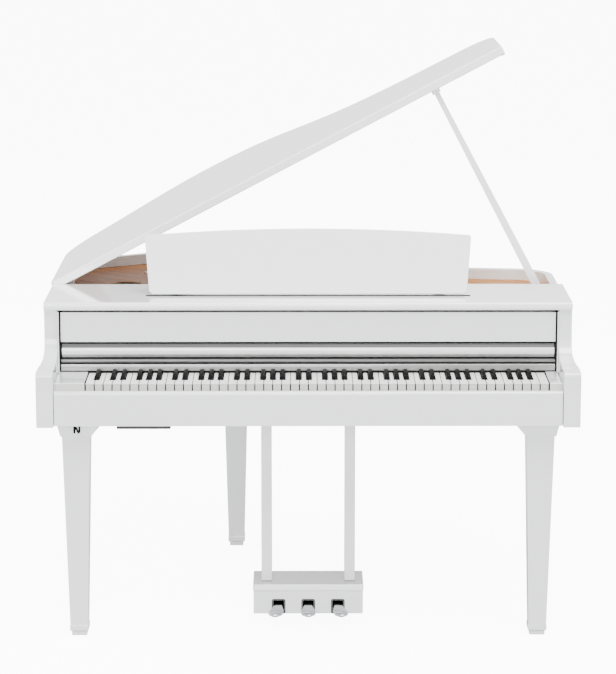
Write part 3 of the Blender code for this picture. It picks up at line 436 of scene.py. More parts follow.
def copiesTree():
    tree, inward, outward = startTree("copiesOnPoints", [
        ("Geometry", "Geometry"), ("Copy", "Object"), ("Turn", "Vector"),
        ("Size", "Float"), ("Finish", "Material"),
    ])
    info = tree.nodes.new("GeometryNodeObjectInfo")
    turn = tree.nodes.new("FunctionNodeEulerToRotation")
    onPoints = tree.nodes.new("GeometryNodeInstanceOnPoints")
    tree.links.new(inward.outputs["Copy"], info.inputs["Object"])
    tree.links.new(inward.outputs["Turn"], turn.inputs[0])
    tree.links.new(inward.outputs["Geometry"], onPoints.inputs["Points"])
    tree.links.new(info.outputs["Geometry"], onPoints.inputs["Instance"])
    tree.links.new(turn.outputs[0], onPoints.inputs["Rotation"])
    tree.links.new(inward.outputs["Size"], onPoints.inputs["Scale"])
    return endTree(tree, inward, outward, onPoints.outputs["Instances"])


# rings of wire inside each other, ring number n with n parts of the radius
def ringsTree():
    tree, inward, outward = startTree("grilleRings", [
        ("Geometry", "Geometry"), ("Rings", "Int"), ("Radius", "Float"),
        ("Wire", "Float"), ("Finish", "Material"),
    ])
    line = tree.nodes.new("GeometryNodeMeshLine")
    line.inputs["Offset"].default_value = (0, 0, 0)
    tree.links.new(inward.outputs["Rings"], line.inputs["Count"])
    ring = tree.nodes.new("GeometryNodeCurvePrimitiveCircle")
    ring.inputs["Resolution"].default_value = meshSet["ringSides"]
    index = tree.nodes.new("GeometryNodeInputIndex")
    share = maths(tree, "ADD", index.outputs[0], 1.0)
    share = maths(tree, "DIVIDE", share, inward.outputs["Rings"])
    wide = maths(tree, "MULTIPLY", share, inward.outputs["Radius"])
    onPoints = tree.nodes.new("GeometryNodeInstanceOnPoints")
    tree.links.new(line.outputs["Mesh"], onPoints.inputs["Points"])
    tree.links.new(ring.outputs["Curve"], onPoints.inputs["Instance"])
    tree.links.new(wide, onPoints.inputs["Scale"])
    real = tree.nodes.new("GeometryNodeRealizeInstances")
    tree.links.new(onPoints.outputs["Instances"], real.inputs["Geometry"])
    section = tree.nodes.new("GeometryNodeCurvePrimitiveCircle")
    section.inputs["Resolution"].default_value = meshSet["ringWireSides"]
    tree.links.new(inward.outputs["Wire"], section.inputs["Radius"])
    tube = tree.nodes.new("GeometryNodeCurveToMesh")
    tree.links.new(real.outputs["Geometry"], tube.inputs["Curve"])
    tree.links.new(section.outputs["Curve"], tube.inputs["Profile Curve"])
    grilles = tree.nodes.new("GeometryNodeInstanceOnPoints")
    tree.links.new(inward.outputs["Geometry"], grilles.inputs["Points"])
    tree.links.new(tube.outputs["Mesh"], grilles.inputs["Instance"])
    return endTree(tree, inward, outward, grilles.outputs["Instances"])


copiesOnPoints = copiesTree()
grilleRings = ringsTree()


def meshed(name, holder, body, smooth):
    graph = bpy.context.evaluated_depsgraph_get()
    mesh = bpy.data.meshes.new_from_object(holder.evaluated_get(graph), depsgraph=graph)
    mesh.name = name
    bpy.data.objects.remove(holder)
    mesh.shade_smooth()
    mesh.set_sharp_from_angle(angle=math.radians(smooth))
    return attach(linked(name, mesh), body)


def grown(name, tree, points, values, body):
    dots = bpy.data.meshes.new(name + "Dots")
    dots.from_pydata([tuple(point) for point in points], [], [])
    holder = linked(name + "Dots", dots)
    modifier = holder.modifiers.new("grow", "NODES")
    modifier.node_group = tree
    for item in tree.interface.items_tree:
        if item.in_out == "INPUT" and item.name in values:
            modifier[item.identifier] = values[item.name]
    return meshed(name, holder, body, meshSet["copySharp"])


def copyShape(name, shape):
    mesh = bpy.data.meshes.new(name)
    turnedOut(shape).to_mesh(mesh)
    shape.free()
    return linked(name, mesh)


def wire(name, points, radius, look, body):
    data = bpy.data.curves.new(name, "CURVE")
    data.dimensions, data.use_fill_caps = "3D", True
    data.bevel_depth, data.bevel_resolution = radius, meshSet["wireRound"]
    line = data.splines.new("NURBS")
    line.points.add(len(points) - 1)
    for point, spot in zip(line.points, points):
        point.co = (*spot, 1.0)
    line.order_u, line.use_endpoint_u, line.resolution_u = 3, True, meshSet["wireSteps"]
    data.materials.append(finish[look])
    return meshed(name, linked(name + "Path", data), body, meshSet["wireSharp"])


# case
casePieces = {
    "boards": ("arm_left", "arm_right", "rim_spine", "rim_tail", "rim_bent_side", "bottom_board"),
    "legs": ("leg_front_left", "leg_front_right", "leg_rear"),
    "feet": ("foot_front_left", "foot_front_right", "foot_rear"),
    "edge": 0.0018, "sharpEdge": 0.0008,
    "blockIn": 0.0014, "blockSide": 0.002, "blockFront": 0.0005,
    "slipGap": 0.0009, "slipDrop": 0.0026, "slipTop": 0.012,
    "lidFront": 0.002, "slabTop": 0.0002, "roundSharp": 50,
    "hollowSharp": 40, "hollowFrom": (0.003, 0.0015, 0.003), "hollowTop": 0.0005,
}


# key blocks, a little narrower towards the keys than their solids
def makeBlock(node):
    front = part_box(node)[0].y + casePieces["blockFront"]
    # the blocks' front faces get the darker key-front copy: painted shade
    made = dressed(node, ["whiteLacquer", "keyFrontsPaintedShade"], casePieces["sharpEdge"],
                   sort=lambda p: int(p.y < front))
    points = made.data.vertices
    inner = min(abs(point.co.x) for point in points) + casePieces["blockSide"]
    for point in points:
        if abs(point.co.x) < inner:
            point.co.x += math.copysign(casePieces["blockIn"], point.co.x)


def makeSlip():
    made = dressed("key_slip", "whiteLacquer", smooth=casePieces["roundSharp"])
    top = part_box("key_slip")[1].z - casePieces["slipTop"]
    for point in made.data.vertices:
        point.co.x -= math.copysign(casePieces["slipGap"], point.co.x)
        if point.co.z > top:
            point.co.z -= casePieces["slipDrop"]


# pedal box, black inside its hollow: painted shade on the hollow's inner faces
def makeBox():
    low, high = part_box("pedal_box")
    x, y, z = casePieces["hollowFrom"]

    def inside(p):
        return int(low.y + y < p.y < high.y - y and abs(p.x) < high.x - x
                   and low.z + z < p.z < high.z - casePieces["hollowTop"])

    dressed("pedal_box", ["whiteLacquer", "blackFelt"], smooth=casePieces["hollowSharp"], sort=inside)


def makeCase():
    sharp = casePieces["roundSharp"]
    for node in casePieces["boards"]:
        dressed(node, "whiteLacquer", casePieces["edge"])
    # the front top board in the brighter lacquer copy: painted light
    dressed("front_top_board", "whiteLacquerLit", casePieces["sharpEdge"])
    for node in ("key_block_left", "key_block_right"):
        makeBlock(node)
    dressed("fallboard_lip", "whiteLacquer", smooth=sharp)
    makeSlip()
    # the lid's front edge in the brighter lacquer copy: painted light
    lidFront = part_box("lid")[0].y + casePieces["lidFront"]
    dressed("lid", ["whiteLacquer", "whiteLacquerLit"], smooth=sharp, sort=lambda p: int(p.y < lidFront))
    for node in casePieces["legs"]:
        dressed(node, "whiteLacquer", smooth=sharp)
    # prop and desk in the brighter lacquer copy: painted light
    for node in ("lid_prop", "music_desk"):
        dressed(node, "whiteLacquerLit", smooth=sharp)
    for node in casePieces["feet"]:
        dressed(node, "whiteLacquer", casePieces["sharpEdge"])
    for node in ("lyre_post_left", "lyre_post_right"):
        dressed(node, "whiteLacquer", smooth=sharp)
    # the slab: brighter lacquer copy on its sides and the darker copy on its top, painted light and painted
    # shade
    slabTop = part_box("pedal_box_top")[1].z - casePieces["slabTop"]
    dressed("pedal_box_top", ["whiteLacquerLit", "whiteLacquerPaintedShade"], smooth=sharp,
            sort=lambda p: int(p.z > slabTop))
    makeBox()
    print("case dressed")


# key cover and the rail under it
coverSet = {
    "pivot": (-0.434, 0.763), "radius": 0.0200, "steps": 30, "face": -0.447, "rear": -0.434,
    "half": 0.6580, "capHalf": 0.6652, "capLess": 0.0006, "noseSharp": 30,
    # below: the nose's front faces above the first height get the grey band and those under the second the
    # darker lacquer, both painted shade
    "bandLow": 0.7722, "barPaintedShadeBelow": 0.7536, "facingFront": -0.3, "flatFront": -0.95,
    "shelf": 0.7810, "shelfShadeInset": (0.0018, 0.0010), "panelLow": 0.7865, "panelFoot": 0.004,
    "railFront": -0.431, "railRear": -0.401, "railLow": 0.7050, "railEdge": 0.0008,
    "stripTop": 0.7224, "stripRound": ((0.0, 0.0022), (0.0006, 0.0007), (0.0022, 0.0)),
    "stripFace": 0.003, "grooveRear": 0.0075, "grooveTop": 0.7418, "railSharp": 40,
    "beadLow": 0.7262, "beadHigh": 0.7368, "beadRear": 0.0074, "beadFront": 0.0030,
    "beadRound": ((0.0042, 0.0006), (0.0032, 0.0028)), "beadSharp": 60,
    "linerIn": 0.6657, "linerOut": 0.6698, "linerFront": -0.4560, "linerLow": 0.7038,
    "linerHigh": 0.8690, "linerEdge": 0.0012,
}

# black blocks of painted shade in the gaps round the key cover: how far each lies behind the rail's front,
# and places in the piano's frame
gapShadeSet = {
    "clear": 0.0001, "rear": 0.0074, "underBead": 0.0042, "overBead": 0.0046,
    "underRail": (-0.0010, 0.0120), "underRailLow": 0.7008, "underRailGap": 0.0002,
    "overKeys": (-0.0066, -0.0011), "overKeysZ": (0.7005, 0.7034),
    "railEnd": -0.0006, "railEndWide": 0.0024,
    "boardY": (-0.4455, -0.4150), "boardZ": (0.8708, 0.8731),
    "panelZ": (0.7842, 0.8707), "panelSideX": 0.6636, "panelSideY": (-0.4552, -0.4290),
    "panelRearX": (0.6600, 0.6635), "panelRearY": (-0.4330, -0.4290),
    "keySideY": (-0.5776, -0.4377), "keySideZ": (0.6840, 0.6994), "keySideLap": 0.0003,
}


def noseProfile(radius):
    y, z = coverSet["pivot"]
    start = math.acos((coverSet["face"] - y) / radius)
    points = []
    for i in range(coverSet["steps"] + 1):
        turn = start + (math.tau - start) * i / coverSet["steps"]
        points.append((y + radius * math.cos(turn), z + radius * math.sin(turn)))
    return points + [(coverSet["rear"], coverSet["shelf"]), (coverSet["face"], coverSet["shelf"])]


# turning nose: painted shade as a dark grey band on its upper front faces and as darker lacquer under its
# bar
def makeNose():
    nose = bmesh.new()
    sideways(nose, noseProfile(coverSet["radius"]), -coverSet["half"], coverSet["half"])
    for face in turnedOut(nose).faces:
        height = face.calc_center_median().z
        if face.normal.y < coverSet["facingFront"]:
            if height > coverSet["bandLow"]:
                face.material_index = 1
            elif height < coverSet["barPaintedShadeBelow"]:
                face.material_index = 2
    made = place("fallboard_nose.finished", nose, ["whiteLacquer", "barTopPaintedShade", "whiteLacquerPaintedShade"],
                 "key_cover", coverSet["noseSharp"])
    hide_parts("fallboard_nose")


# black caps at the nose's ends and a black strip between its shelf and the panel: painted shade in the side
# gaps and under the panel
def makeCoverShade():
    half, clear = coverSet["half"], gapShadeSet["clear"]
    front, rear = coverSet["shelfShadeInset"]
    caps = bmesh.new()
    for way in (-1, 1):
        left, right = sided(way, half + clear, coverSet["capHalf"])
        sideways(caps, noseProfile(coverSet["radius"] - coverSet["capLess"]), left, right)
    blockShape(caps, (-half, coverSet["face"] + front, coverSet["shelf"] + clear),
               (half, coverSet["rear"] - rear, coverSet["panelLow"] - clear))
    made = place("coverFelt", turnedOut(caps), "blackFelt", "key_cover", coverSet["noseSharp"])


def makePanel():
    panel = dressed("fallboard_panel", "whiteLacquer", smooth=casePieces["roundSharp"])
    lowest = min(point.co.z for point in panel.data.vertices)
    for point in panel.data.vertices:
        if point.co.z < lowest + coverSet["panelFoot"]:
            point.co.z += coverSet["panelLow"] - lowest


def makeRail():
    front, rear, end = coverSet["railFront"], coverSet["railRear"], coverSet["capHalf"]
    low, top, groove = coverSet["railLow"], coverSet["stripTop"], coverSet["grooveTop"]
    edge, back = coverSet["railEdge"], front + coverSet["grooveRear"]
    profile = [(rear, low), (front + edge, low), (front, low + edge)]
    profile += [(front + y, top - z) for y, z in coverSet["stripRound"]]
    profile += [(back, top), (back, groove), (rear, groove)]
    rail = bmesh.new()
    sideways(rail, profile, -end, end)
    # front faces of the strip below its rounded top get the grey finish: painted shade under the bar
    for face in turnedOut(rail).faces:
        height = face.calc_center_median().z
        facing = face.normal.y < coverSet["flatFront"]
        face.material_index = int(facing and height < top - coverSet["stripFace"])
    made = place("fallboard_rail.finished", rail, ["whiteLacquer", "railPaintedShade"], "case",
                 coverSet["railSharp"])
    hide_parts("fallboard_rail")


def makeBead():
    front, end = coverSet["railFront"], coverSet["capHalf"]
    low, high, back = coverSet["beadLow"], coverSet["beadHigh"], front + coverSet["beadRear"]
    rise = [(front + y, z) for y, z in coverSet["beadRound"]]
    profile = [(back, low)] + [(y, low + z) for y, z in rise]
    profile += [(front + coverSet["beadFront"], (low + high) / 2)]
    profile += [(y, high - z) for y, z in reversed(rise)] + [(back, high)]
    bead = bmesh.new()
    sideways(bead, profile, -end, end)
    made = place("railBead", turnedOut(bead), "trimGrey", "case", coverSet["beadSharp"])


def gapShadePlaces():
    gapShade, front, end = gapShadeSet, coverSet["railFront"], coverSet["capHalf"]
    low, strip, groove = coverSet["railLow"], coverSet["stripTop"], coverSet["grooveTop"]
    clear, rear, lap = gapShade["clear"], front + gapShade["rear"], gapShade["keySideLap"]
    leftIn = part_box("key_block_left")[1].x - casePieces["blockIn"] + clear
    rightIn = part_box("key_block_right")[0].x + casePieces["blockIn"] - clear
    keysLow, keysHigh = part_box("key_frame")
    inner = coverSet["linerIn"] + clear
    underRail = [front + y for y in gapShade["underRail"]]
    overKeys = [front + y for y in gapShade["overKeys"]]
    places = [  # left and right, front and rear, low and high
        ((-end, end), (front + gapShade["underBead"], rear), (strip + clear, coverSet["beadLow"] - clear)),
        ((-end, end), (front + gapShade["overBead"], rear), (coverSet["beadHigh"] + clear, groove)),
        ((-end, end), underRail, (gapShade["underRailLow"], low - gapShade["underRailGap"])),
        ((leftIn, rightIn), overKeys, gapShade["overKeysZ"]),
        ((-end, end), gapShade["boardY"], gapShade["boardZ"]),
        ((leftIn, keysLow.x + lap), gapShade["keySideY"], gapShade["keySideZ"]),
        ((keysHigh.x - lap, rightIn), gapShade["keySideY"], gapShade["keySideZ"]),
    ]
    for way in (-1, 1):
        places += [
            (sided(way, end - gapShade["railEndWide"], inner), (front + gapShade["railEnd"], rear), (low, groove)),
            (sided(way, gapShade["panelSideX"], inner), gapShade["panelSideY"], gapShade["panelZ"]),
            (sided(way, *gapShade["panelRearX"]), gapShade["panelRearY"], gapShade["panelZ"]),
        ]
    return places


# black blocks in the gaps round the key cover, under the top board and beside the keys: painted shade
def makeGapShades():
    gapShades = bmesh.new()
    for spot in gapShadePlaces():
        blockShape(gapShades, *zip(*spot))
    place("railFelts", gapShades, "blackFelt", "case")


def makeLiners():
    liners = bmesh.new()
    for way in (-1, 1):
        left, right = sided(way, coverSet["linerIn"], coverSet["linerOut"])
        blockShape(liners, (left, coverSet["linerFront"], coverSet["linerLow"]),
                   (right, coverSet["railRear"], coverSet["linerHigh"]))
    made = softEdges(place("coverLiners", liners, "whiteLacquer", "case"), coverSet["linerEdge"])


def makeCover():
    makeNose()
    makeCoverShade()
    makePanel()
    makeRail()
    makeBead()
    makeGapShades()
    makeLiners()
    print("key cover made")


# CAD nodes that keep their shape
plainFinish = {
    "deckSpruce": ("soundboard",),
    "railWood": ("belly_rail",),
    "hingeSteel": ("lid_hinge", "lid_hinge_leaf", "prop_bracket", "prop_cup",
                   "desk_hinge_left", "desk_hinge_right", "power_button"),
    "blackPlastic": ("speaker_left", "speaker_right"),
    "circuitGreen": ("main_circuit_board",),
    "sheetGrey": ("power_supply",),
    "softRubber": ("lid_bumper",),
}


def paintNodes():
    for look, names in plainFinish.items():
        for node in names:
            owner = nodes[node]
            if owner.material_slots:
                for each in owner.material_slots:
                    each.material = finish[look]
            else:
                owner.data.materials.append(finish[look])
    print("plain nodes painted")


# pedals
pedalSet = {"names": ("pedal_soft", "pedal_sostenuto", "pedal_sustain"), "sharp": 60}


def makePedals():
    for node in pedalSet["names"]:
        dressed(node, "pedalChrome", smooth=pedalSet["sharp"])
    print("pedals dressed")


# keyboard; notes are numbered as in MIDI, and 60 is middle C
keySet = {
    "notes": (21, 109), "sprung": (60, 72), "pitch": 0.0235, "gap": 0.0016, "top": 0.700, "low": 0.680,
    "capThick": 0.0022, "lip": 0.0012, "slim": 0.0007, "joint": 0.0001, "facing": 0.9,
    "front": -0.578, "keyRear": -0.3535, "edge": 0.0006, "edgeAngle": 50,
    "blackWidth": 0.0130, "blackTop": 0.710, "blackFront": -0.529, "capRear": -0.4325,
    "slope": 0.0045, "sideSlope": 0.0016, "blackSink": 0.001, "blackRound": 0.0012,
    "bedFront": -0.572, "bedTop": 0.698,
    "bed": [(-0.351, 0.698), (-0.351, 0.6797), (-0.3605, 0.6797), (-0.3605, 0.668),
            (-0.354, 0.6263), (-0.354, 0.6163), (-0.552, 0.6163), (-0.552, 0.666), (-0.572, 0.666)],
}
# ivory tops, then fronts and sides in painted shade
keyFinishes = ["ivoryKeys", "keyFrontsPaintedShade", "keyWood"]
keyNames = ("c", "c_sharp", "d", "d_sharp", "e", "f", "f_sharp", "g", "g_sharp", "a", "a_sharp", "b")
sharpShift = {1: -0.0018, 3: 0.0018, 6: -0.0025, 8: 0.0, 10: 0.0025}  # black keys, off the white keys' seam


def isSprung(note):
    return keySet["sprung"][0] <= note < keySet["sprung"][1]


# note, whether it is white, left and right side of each key
def keyPlan():
    plan, whites = [], 0
    left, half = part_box("key_frame")[0].x, keySet["blackWidth"] / 2
    for note in range(*keySet["notes"]):
        edge = left + whites * keySet["pitch"]
        if note % 12 in sharpShift:
            middle = edge + sharpShift[note % 12]
            plan.append((note, False, middle - half, middle + half))
        else:
            inset = keySet["gap"] / 2
            plan.append((note, True, edge + inset, edge + keySet["pitch"] - inset))
            whites += 1
    return plan


# outline of a white key, notched where a black key stands beside it
def whiteOutline(plan, i, front, rear, slim=0.0):
    left, right = plan[i][2] + slim, plan[i][3] - slim
    notch = keySet["blackFront"] - keySet["gap"]
    points = []
    if i > 0 and not plan[i - 1][1]:
        inner = plan[i - 1][3] + keySet["gap"]
        points += [(inner, rear), (inner, notch), (left, notch)]
    else:
        points.append((left, rear))
    points += [(left, front), (right, front)]
    if i + 1 < len(plan) and not plan[i + 1][1]:
        inner = plan[i + 1][2] - keySet["gap"]
        points += [(right, notch), (inner, notch), (inner, rear)]
    else:
        points.append((right, rear))
    return points


def whiteKey(shape, plan, i):
    front, rear, top = keySet["front"], keySet["keyRear"], keySet["top"]
    split = top - keySet["capThick"]
    body = whiteOutline(plan, i, front + keySet["lip"], rear, keySet["slim"])
    prism(shape, body, keySet["low"], split - keySet["joint"])
    prism(shape, whiteOutline(plan, i, front, rear), split, top)
    shape.normal_update()
    # sides get the near-black key wood and fronts the darker ivory copy: painted shade between the keys and
    # on their fronts
    for face in shape.faces:
        if abs(face.normal.x) > keySet["facing"]:
            face.material_index = 2
        elif face.normal.y < -keySet["facing"]:
            face.material_index = 1


def blackCopy():
    half, front, rear = keySet["blackWidth"] / 2, keySet["blackFront"], keySet["capRear"]
    base, top = keySet["top"] - keySet["blackSink"], keySet["blackTop"]
    shape = bmesh.new()
    blockShape(shape, (-half, front, keySet["low"] + keySet["blackSink"]),
               (half, keySet["keyRear"], base - keySet["joint"]))
    narrow, sloped = half - keySet["sideSlope"], front + keySet["slope"]
    lower = [(-half, front), (half, front), (half, rear), (-half, rear)]
    upper = [(-narrow, sloped), (narrow, sloped), (narrow, rear), (-narrow, rear)]
    below = [shape.verts.new((x, y, base)) for x, y in lower]
    above = [shape.verts.new((x, y, top)) for x, y in upper]
    shape.faces.new(list(reversed(below)))
    shape.faces.new(above)
    joinLoops(shape, below, above)
    edges = [edge for edge in shape.edges if any(point in above for point in edge.verts)]
    bmesh.ops.bevel(shape, geom=edges, offset=keySet["blackRound"], segments=3, profile=0.5, affect="EDGES")
    return copyShape("blackKeyCopy", shape)


def makeBed():
    low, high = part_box("key_frame")
    profile = [(keySet["bedFront"], low.z), (high.y, low.z), (high.y, keySet["bedTop"])]
    bed = bmesh.new()
    sideways(bed, profile + keySet["bed"], low.x, high.x)
    # the key bed in the near-black key wood: painted shade under the keys
    place("keyBed", turnedOut(bed), "keyWood", "case")


def makeKeys():
    plan = keyPlan()
    fixed = bmesh.new()
    for i, (note, white, left, right) in enumerate(plan):
        if white and isSprung(note):
            shape, name = bmesh.new(), keyNames[note % 12]
            whiteKey(shape, plan, i)
            made = place("key_" + name + ".top", shape, keyFinishes, "key_body_" + name)
            softEdges(made, keySet["edge"], angle=keySet["edgeAngle"])
            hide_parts("key_" + name)
        elif white:
            whiteKey(fixed, plan, i)
    made = place("whiteKeys", fixed, keyFinishes, "case")
    softEdges(made, keySet["edge"], angle=keySet["edgeAngle"])
    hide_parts("key_frame")
    copy = blackCopy()
    values = {"Copy": copy, "Turn": (0, 0, 0), "Size": 1.0, "Finish": finish["ebonyKeys"]}
    blacks = [(note, ((left + right) / 2, 0, 0)) for note, white, left, right in plan if not white]
    grown("blackKeys", copiesOnPoints, [spot for note, spot in blacks if not isSprung(note)], values, "case")
    for note, spot in blacks:
        if isSprung(note):
            name = keyNames[note % 12]
            made = grown("key_" + name + ".top", copiesOnPoints, [spot], values, "key_body_" + name)
            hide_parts("key_" + name)
    bpy.data.objects.remove(copy)
    makeBed()
    print("keys made:", len(plan))


# small hardware; screw, socket and rose are turned: radius and height of each ring
hardware = {
    "sides": 20,
    "screw": [(0.0023, 0.0), (0.0023, 0.0002), (0.0019, 0.0005)],
    "socket": [(0.0052, 0.0), (0.0052, 0.0007), (0.0044, 0.0012), (0.0035, 0.0012), (0.0033, 0.0002)],
    "rose": [(0.0060, 0.0), (0.0060, 0.0010), (0.0044, 0.0034), (0.0020, 0.0042)],
    "hingeScrews": 10, "hingeScrewX": -0.7070, "hingeScrewUp": 0.009,
    "bottomX": (-0.64, -0.40, -0.05, 0.25, 0.50), "bottomY": (-0.15, 0.05, 0.20), "bottomSize": 1.7,
    "socketIn": 0.045, "jackEdge": 0.0008, "roseAt": (-0.476, 0.332),
    "rings": 9, "ringRadius": 0.0405, "ringWire": 0.0009, "ringsDown": 0.003,
    "hingeBlock": ((-0.6754, -0.12, 0.8432), (-0.6640, 0.08, 0.8665)), "hingeBlockEdge": 0.0012,
    # black strip under the music desk, painted shadow
    "deskFelt": ((-0.4380, -0.3580, 0.8954), (0.4380, -0.3500, 0.8970)),
}

# pedal slots: half width, low, high and corner of each outline
slotSet = {
    "x": (-0.0805, 0.0, 0.0805), "front": -0.4608, "rear": -0.4300, "clear": 0.0001, "cornerSteps": 5,
    "outer": (0.0187, 0.0353, 0.0768, 0.0052), "inner": (0.0148, 0.0418, 0.0732, 0.0036),
    "sleeve": (0.0173, 0.0416, 0.0748, 0.0012), "trimThick": 0.0003,
    "trimOuter": (0.0158, 0.0417, 0.0742, 0.0044), "trimInner": (0.0151, 0.0420, 0.0735, 0.0038),
}

# headphone hook, bent from one wire
hookSet = {
    "radius": 0.0026,
    "points": [
        (-0.6178, -0.5866, 0.5912), (-0.6180, -0.5866, 0.5800), (-0.6180, -0.5868, 0.5728),
        (-0.6174, -0.5925, 0.5722), (-0.6166, -0.5984, 0.5726), (-0.6160, -0.5984, 0.5790),
        (-0.6138, -0.5984, 0.5872), (-0.6112, -0.5984, 0.5860), (-0.6084, -0.5984, 0.5780),
        (-0.6060, -0.5984, 0.5726), (-0.6050, -0.5925, 0.5722), (-0.6042, -0.5868, 0.5728),
        (-0.6040, -0.5866, 0.5800), (-0.6042, -0.5866, 0.5912),
    ],
}


def turnedCopy(name):
    shape, sides = bmesh.new(), hardware["sides"]
    turns = [math.tau * i / sides for i in range(sides)]
    loops = [[shape.verts.new((r * math.cos(turn), r * math.sin(turn), z)) for turn in turns]
             for r, z in hardware[name]]
    for low, high in zip(loops, loops[1:]):
        joinLoops(shape, low, high)
    shape.faces.new(list(reversed(loops[0])))
    shape.faces.new(loops[-1])
    return copyShape(name + "Copy", shape)


def roundedOutline(half, low, high, radius):
    points = []
    for x, z, start in ((half - radius, high - radius, 0), (radius - half, high - radius, 90),
                        (radius - half, low + radius, 180), (half - radius, low + radius, 270)):
        for i in range(slotSet["cornerSteps"] + 1):
            turn = math.radians(start + 90 * i / slotSet["cornerSteps"])
            points.append((x + radius * math.cos(turn), z + radius * math.sin(turn)))
    return points


def hollowPrism(shape, outer, inner, front, rear):
    outer, inner = roundedOutline(*slotSet[outer]), roundedOutline(*slotSet[inner])
    loops = [[shape.verts.new((x, y, z)) for x, z in outline]
             for outline, y in ((outer, front), (outer, rear), (inner, rear), (inner, front))]
    for near, far in zip(loops, loops[1:] + loops[:1]):
        joinLoops(shape, near, far)


def slotCopy():
    shape, clear, boxFront = bmesh.new(), slotSet["clear"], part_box("pedal_box")[0].y
    hollowPrism(shape, "outer", "inner", slotSet["front"], boxFront - clear)
    hollowPrism(shape, "sleeve", "inner", boxFront + clear, slotSet["rear"])
    return copyShape("slotCopy", shape)


def trimCopy():
    shape, front = bmesh.new(), slotSet["front"]
    hollowPrism(shape, "trimOuter", "trimInner", front - slotSet["trimThick"], front - slotSet["clear"])
    return copyShape("trimCopy", shape)


def spots(name, copy, points, look, turn=(0, 0, 0), size=1.0):
    values = {"Copy": copy, "Turn": turn, "Size": size, "Finish": finish[look]}
    grown(name, copiesOnPoints, points, values, "case")


def makeScrews(screw):
    low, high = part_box("lid_hinge")
    count = hardware["hingeScrews"]
    step, z = (high.y - low.y) / count, low.z + hardware["hingeScrewUp"]
    points = [(hardware["hingeScrewX"], low.y + step * (i + 0.5), z) for i in range(count)]
    spots("hingeScrews", screw, points, "hingeSteel", (0, -math.pi / 2, 0))
    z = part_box("bottom_board")[0].z
    points = [(x, y, z) for y in hardware["bottomY"] for x in hardware["bottomX"]]
    spots("bottomScrews", screw, points, "hingeSteel", (math.pi, 0, 0), hardware["bottomSize"])


def makeJacks(socket):
    low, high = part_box("jack_box")
    inset, z = hardware["socketIn"], (low.z + high.z) / 2
    points = [(low.x + inset, low.y, z), (high.x - inset, low.y, z)]
    spots("jackSockets", socket, points, "blackPlastic", (math.pi / 2, 0, 0))
    dressed("jack_box", "blackPlastic", hardware["jackEdge"])


def makeSlots(slot, trim):
    points = [(x, 0, 0) for x in slotSet["x"]]
    spots("slotFrames", slot, points, "blackPlastic")
    spots("slotTrims", trim, points, "trimGrey")


def makeGrilles(deck):
    points = []
    for node in ("speaker_left", "speaker_right"):
        low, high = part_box(node)
        points.append(((low.x + high.x) / 2, (low.y + high.y) / 2, deck - hardware["ringsDown"]))
    values = {"Rings": hardware["rings"], "Radius": hardware["ringRadius"],
              "Wire": hardware["ringWire"], "Finish": finish["blackPlastic"]}
    grown("speakerRings", grilleRings, points, values, "case")


def makeHardware():
    screw, socket, rose = turnedCopy("screw"), turnedCopy("socket"), turnedCopy("rose")
    slot, trim, deck = slotCopy(), trimCopy(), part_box("soundboard")[1].z
    makeScrews(screw)
    makeJacks(socket)
    spots("deckRose", rose, [(*hardware["roseAt"], deck)], "pedalChrome")
    makeSlots(slot, trim)
    for copy in (screw, socket, rose, slot, trim):
        bpy.data.objects.remove(copy)
    makeGrilles(deck)
    hook = wire("headphoneHook", hookSet["points"], hookSet["radius"], "ebonyKeys", "case")
    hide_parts("headphone_hanger")
    block = bmesh.new()
    blockShape(block, *hardware["hingeBlock"])
    made = softEdges(place("spineHingeBlock", block, "hingeSteel", "case"), hardware["hingeBlockEdge"])
    # a black strip under the music desk: painted shadow along its foot
    strip = bmesh.new()
    blockShape(strip, *hardware["deskFelt"])
    place("deskFelt", strip, "blackFelt", "case")
    print("hardware made")


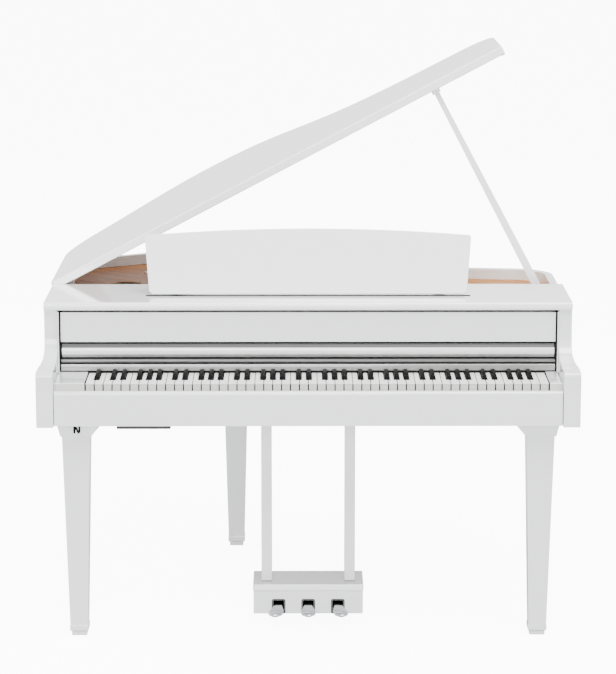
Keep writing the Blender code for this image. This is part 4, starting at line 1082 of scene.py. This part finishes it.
# stage and light; backdrop and shine are what the camera and the gloss see
studio = {
    "floor": (0.72, 0.72, 0.72), "floorHalf": 30.0, "floorRoughness": 0.9,
    "backdrop": 10.0, "world": 1.0, "shine": 1.45, "white": (1.0, 1.0, 1.0, 1.0),
    "lights": {
        "key": {"place": (1.0, -2.4, 5.6), "size": 3.4, "power": 600.0, "aim": (0, -0.1, 0.7)},
        "front": {"place": (-1.0, -7.2, 2.4), "size": 3.0, "power": 330.0, "aim": (0, -0.3, 0.6)},
        "left": {"place": (-4.6, 0.8, 4.4), "size": 3.2, "power": 300.0, "aim": (0, 0, 0.9)},
    },
}


def brightFor(tree, ray, gain, base):
    path = tree.nodes.new("ShaderNodeLightPath")
    return maths(tree, "MULTIPLY_ADD", path.outputs[ray], gain, base)


def makeFloor():
    floor = bmesh.new()
    bmesh.ops.create_grid(floor, x_segments=1, y_segments=1, size=studio["floorHalf"])
    look = finish["paleFloor"] = bpy.data.materials.new("paleFloor")
    look.use_nodes = True
    tree = look.node_tree
    shader = tree.nodes["Principled BSDF"]
    shader.inputs["Base Color"].default_value = (*studio["floor"], 1.0)
    shader.inputs["Roughness"].default_value = studio["floorRoughness"]
    shader.inputs["Specular IOR Level"].default_value = 0.0
    shader.inputs["Emission Color"].default_value = studio["white"]
    glow = brightFor(tree, "Is Camera Ray", studio["backdrop"], 0.0)
    tree.links.new(glow, shader.inputs["Emission Strength"])
    place("studioFloor", floor, "paleFloor", None)


def makeWorld():
    world = bpy.data.worlds.new("studioWorld")
    world.use_nodes = True
    tree = world.node_tree
    back = tree.nodes["Background"]
    back.inputs["Color"].default_value = studio["white"]
    lit = brightFor(tree, "Is Glossy Ray", studio["shine"], studio["world"])
    seen = brightFor(tree, "Is Camera Ray", studio["backdrop"], lit)
    tree.links.new(seen, back.inputs["Strength"])
    bpy.context.scene.world = world


def makeLights():
    for name, values in studio["lights"].items():
        data = bpy.data.lights.new(name + "Light", "AREA")
        data.size, data.energy = values["size"], values["power"]
        light = linked(name + "Light", data)
        light.location = values["place"]
        aim = Vector(values["aim"]) - Vector(values["place"])
        light.rotation_euler = aim.to_track_quat("-Z", "Y").to_euler()


def makeStage():
    makeFloor()
    makeWorld()
    makeLights()
    print("stage lit")


makeCamera()
makeCase()
makeCover()
paintNodes()
makePedals()
makeKeys()
makeHardware()
makeStage()
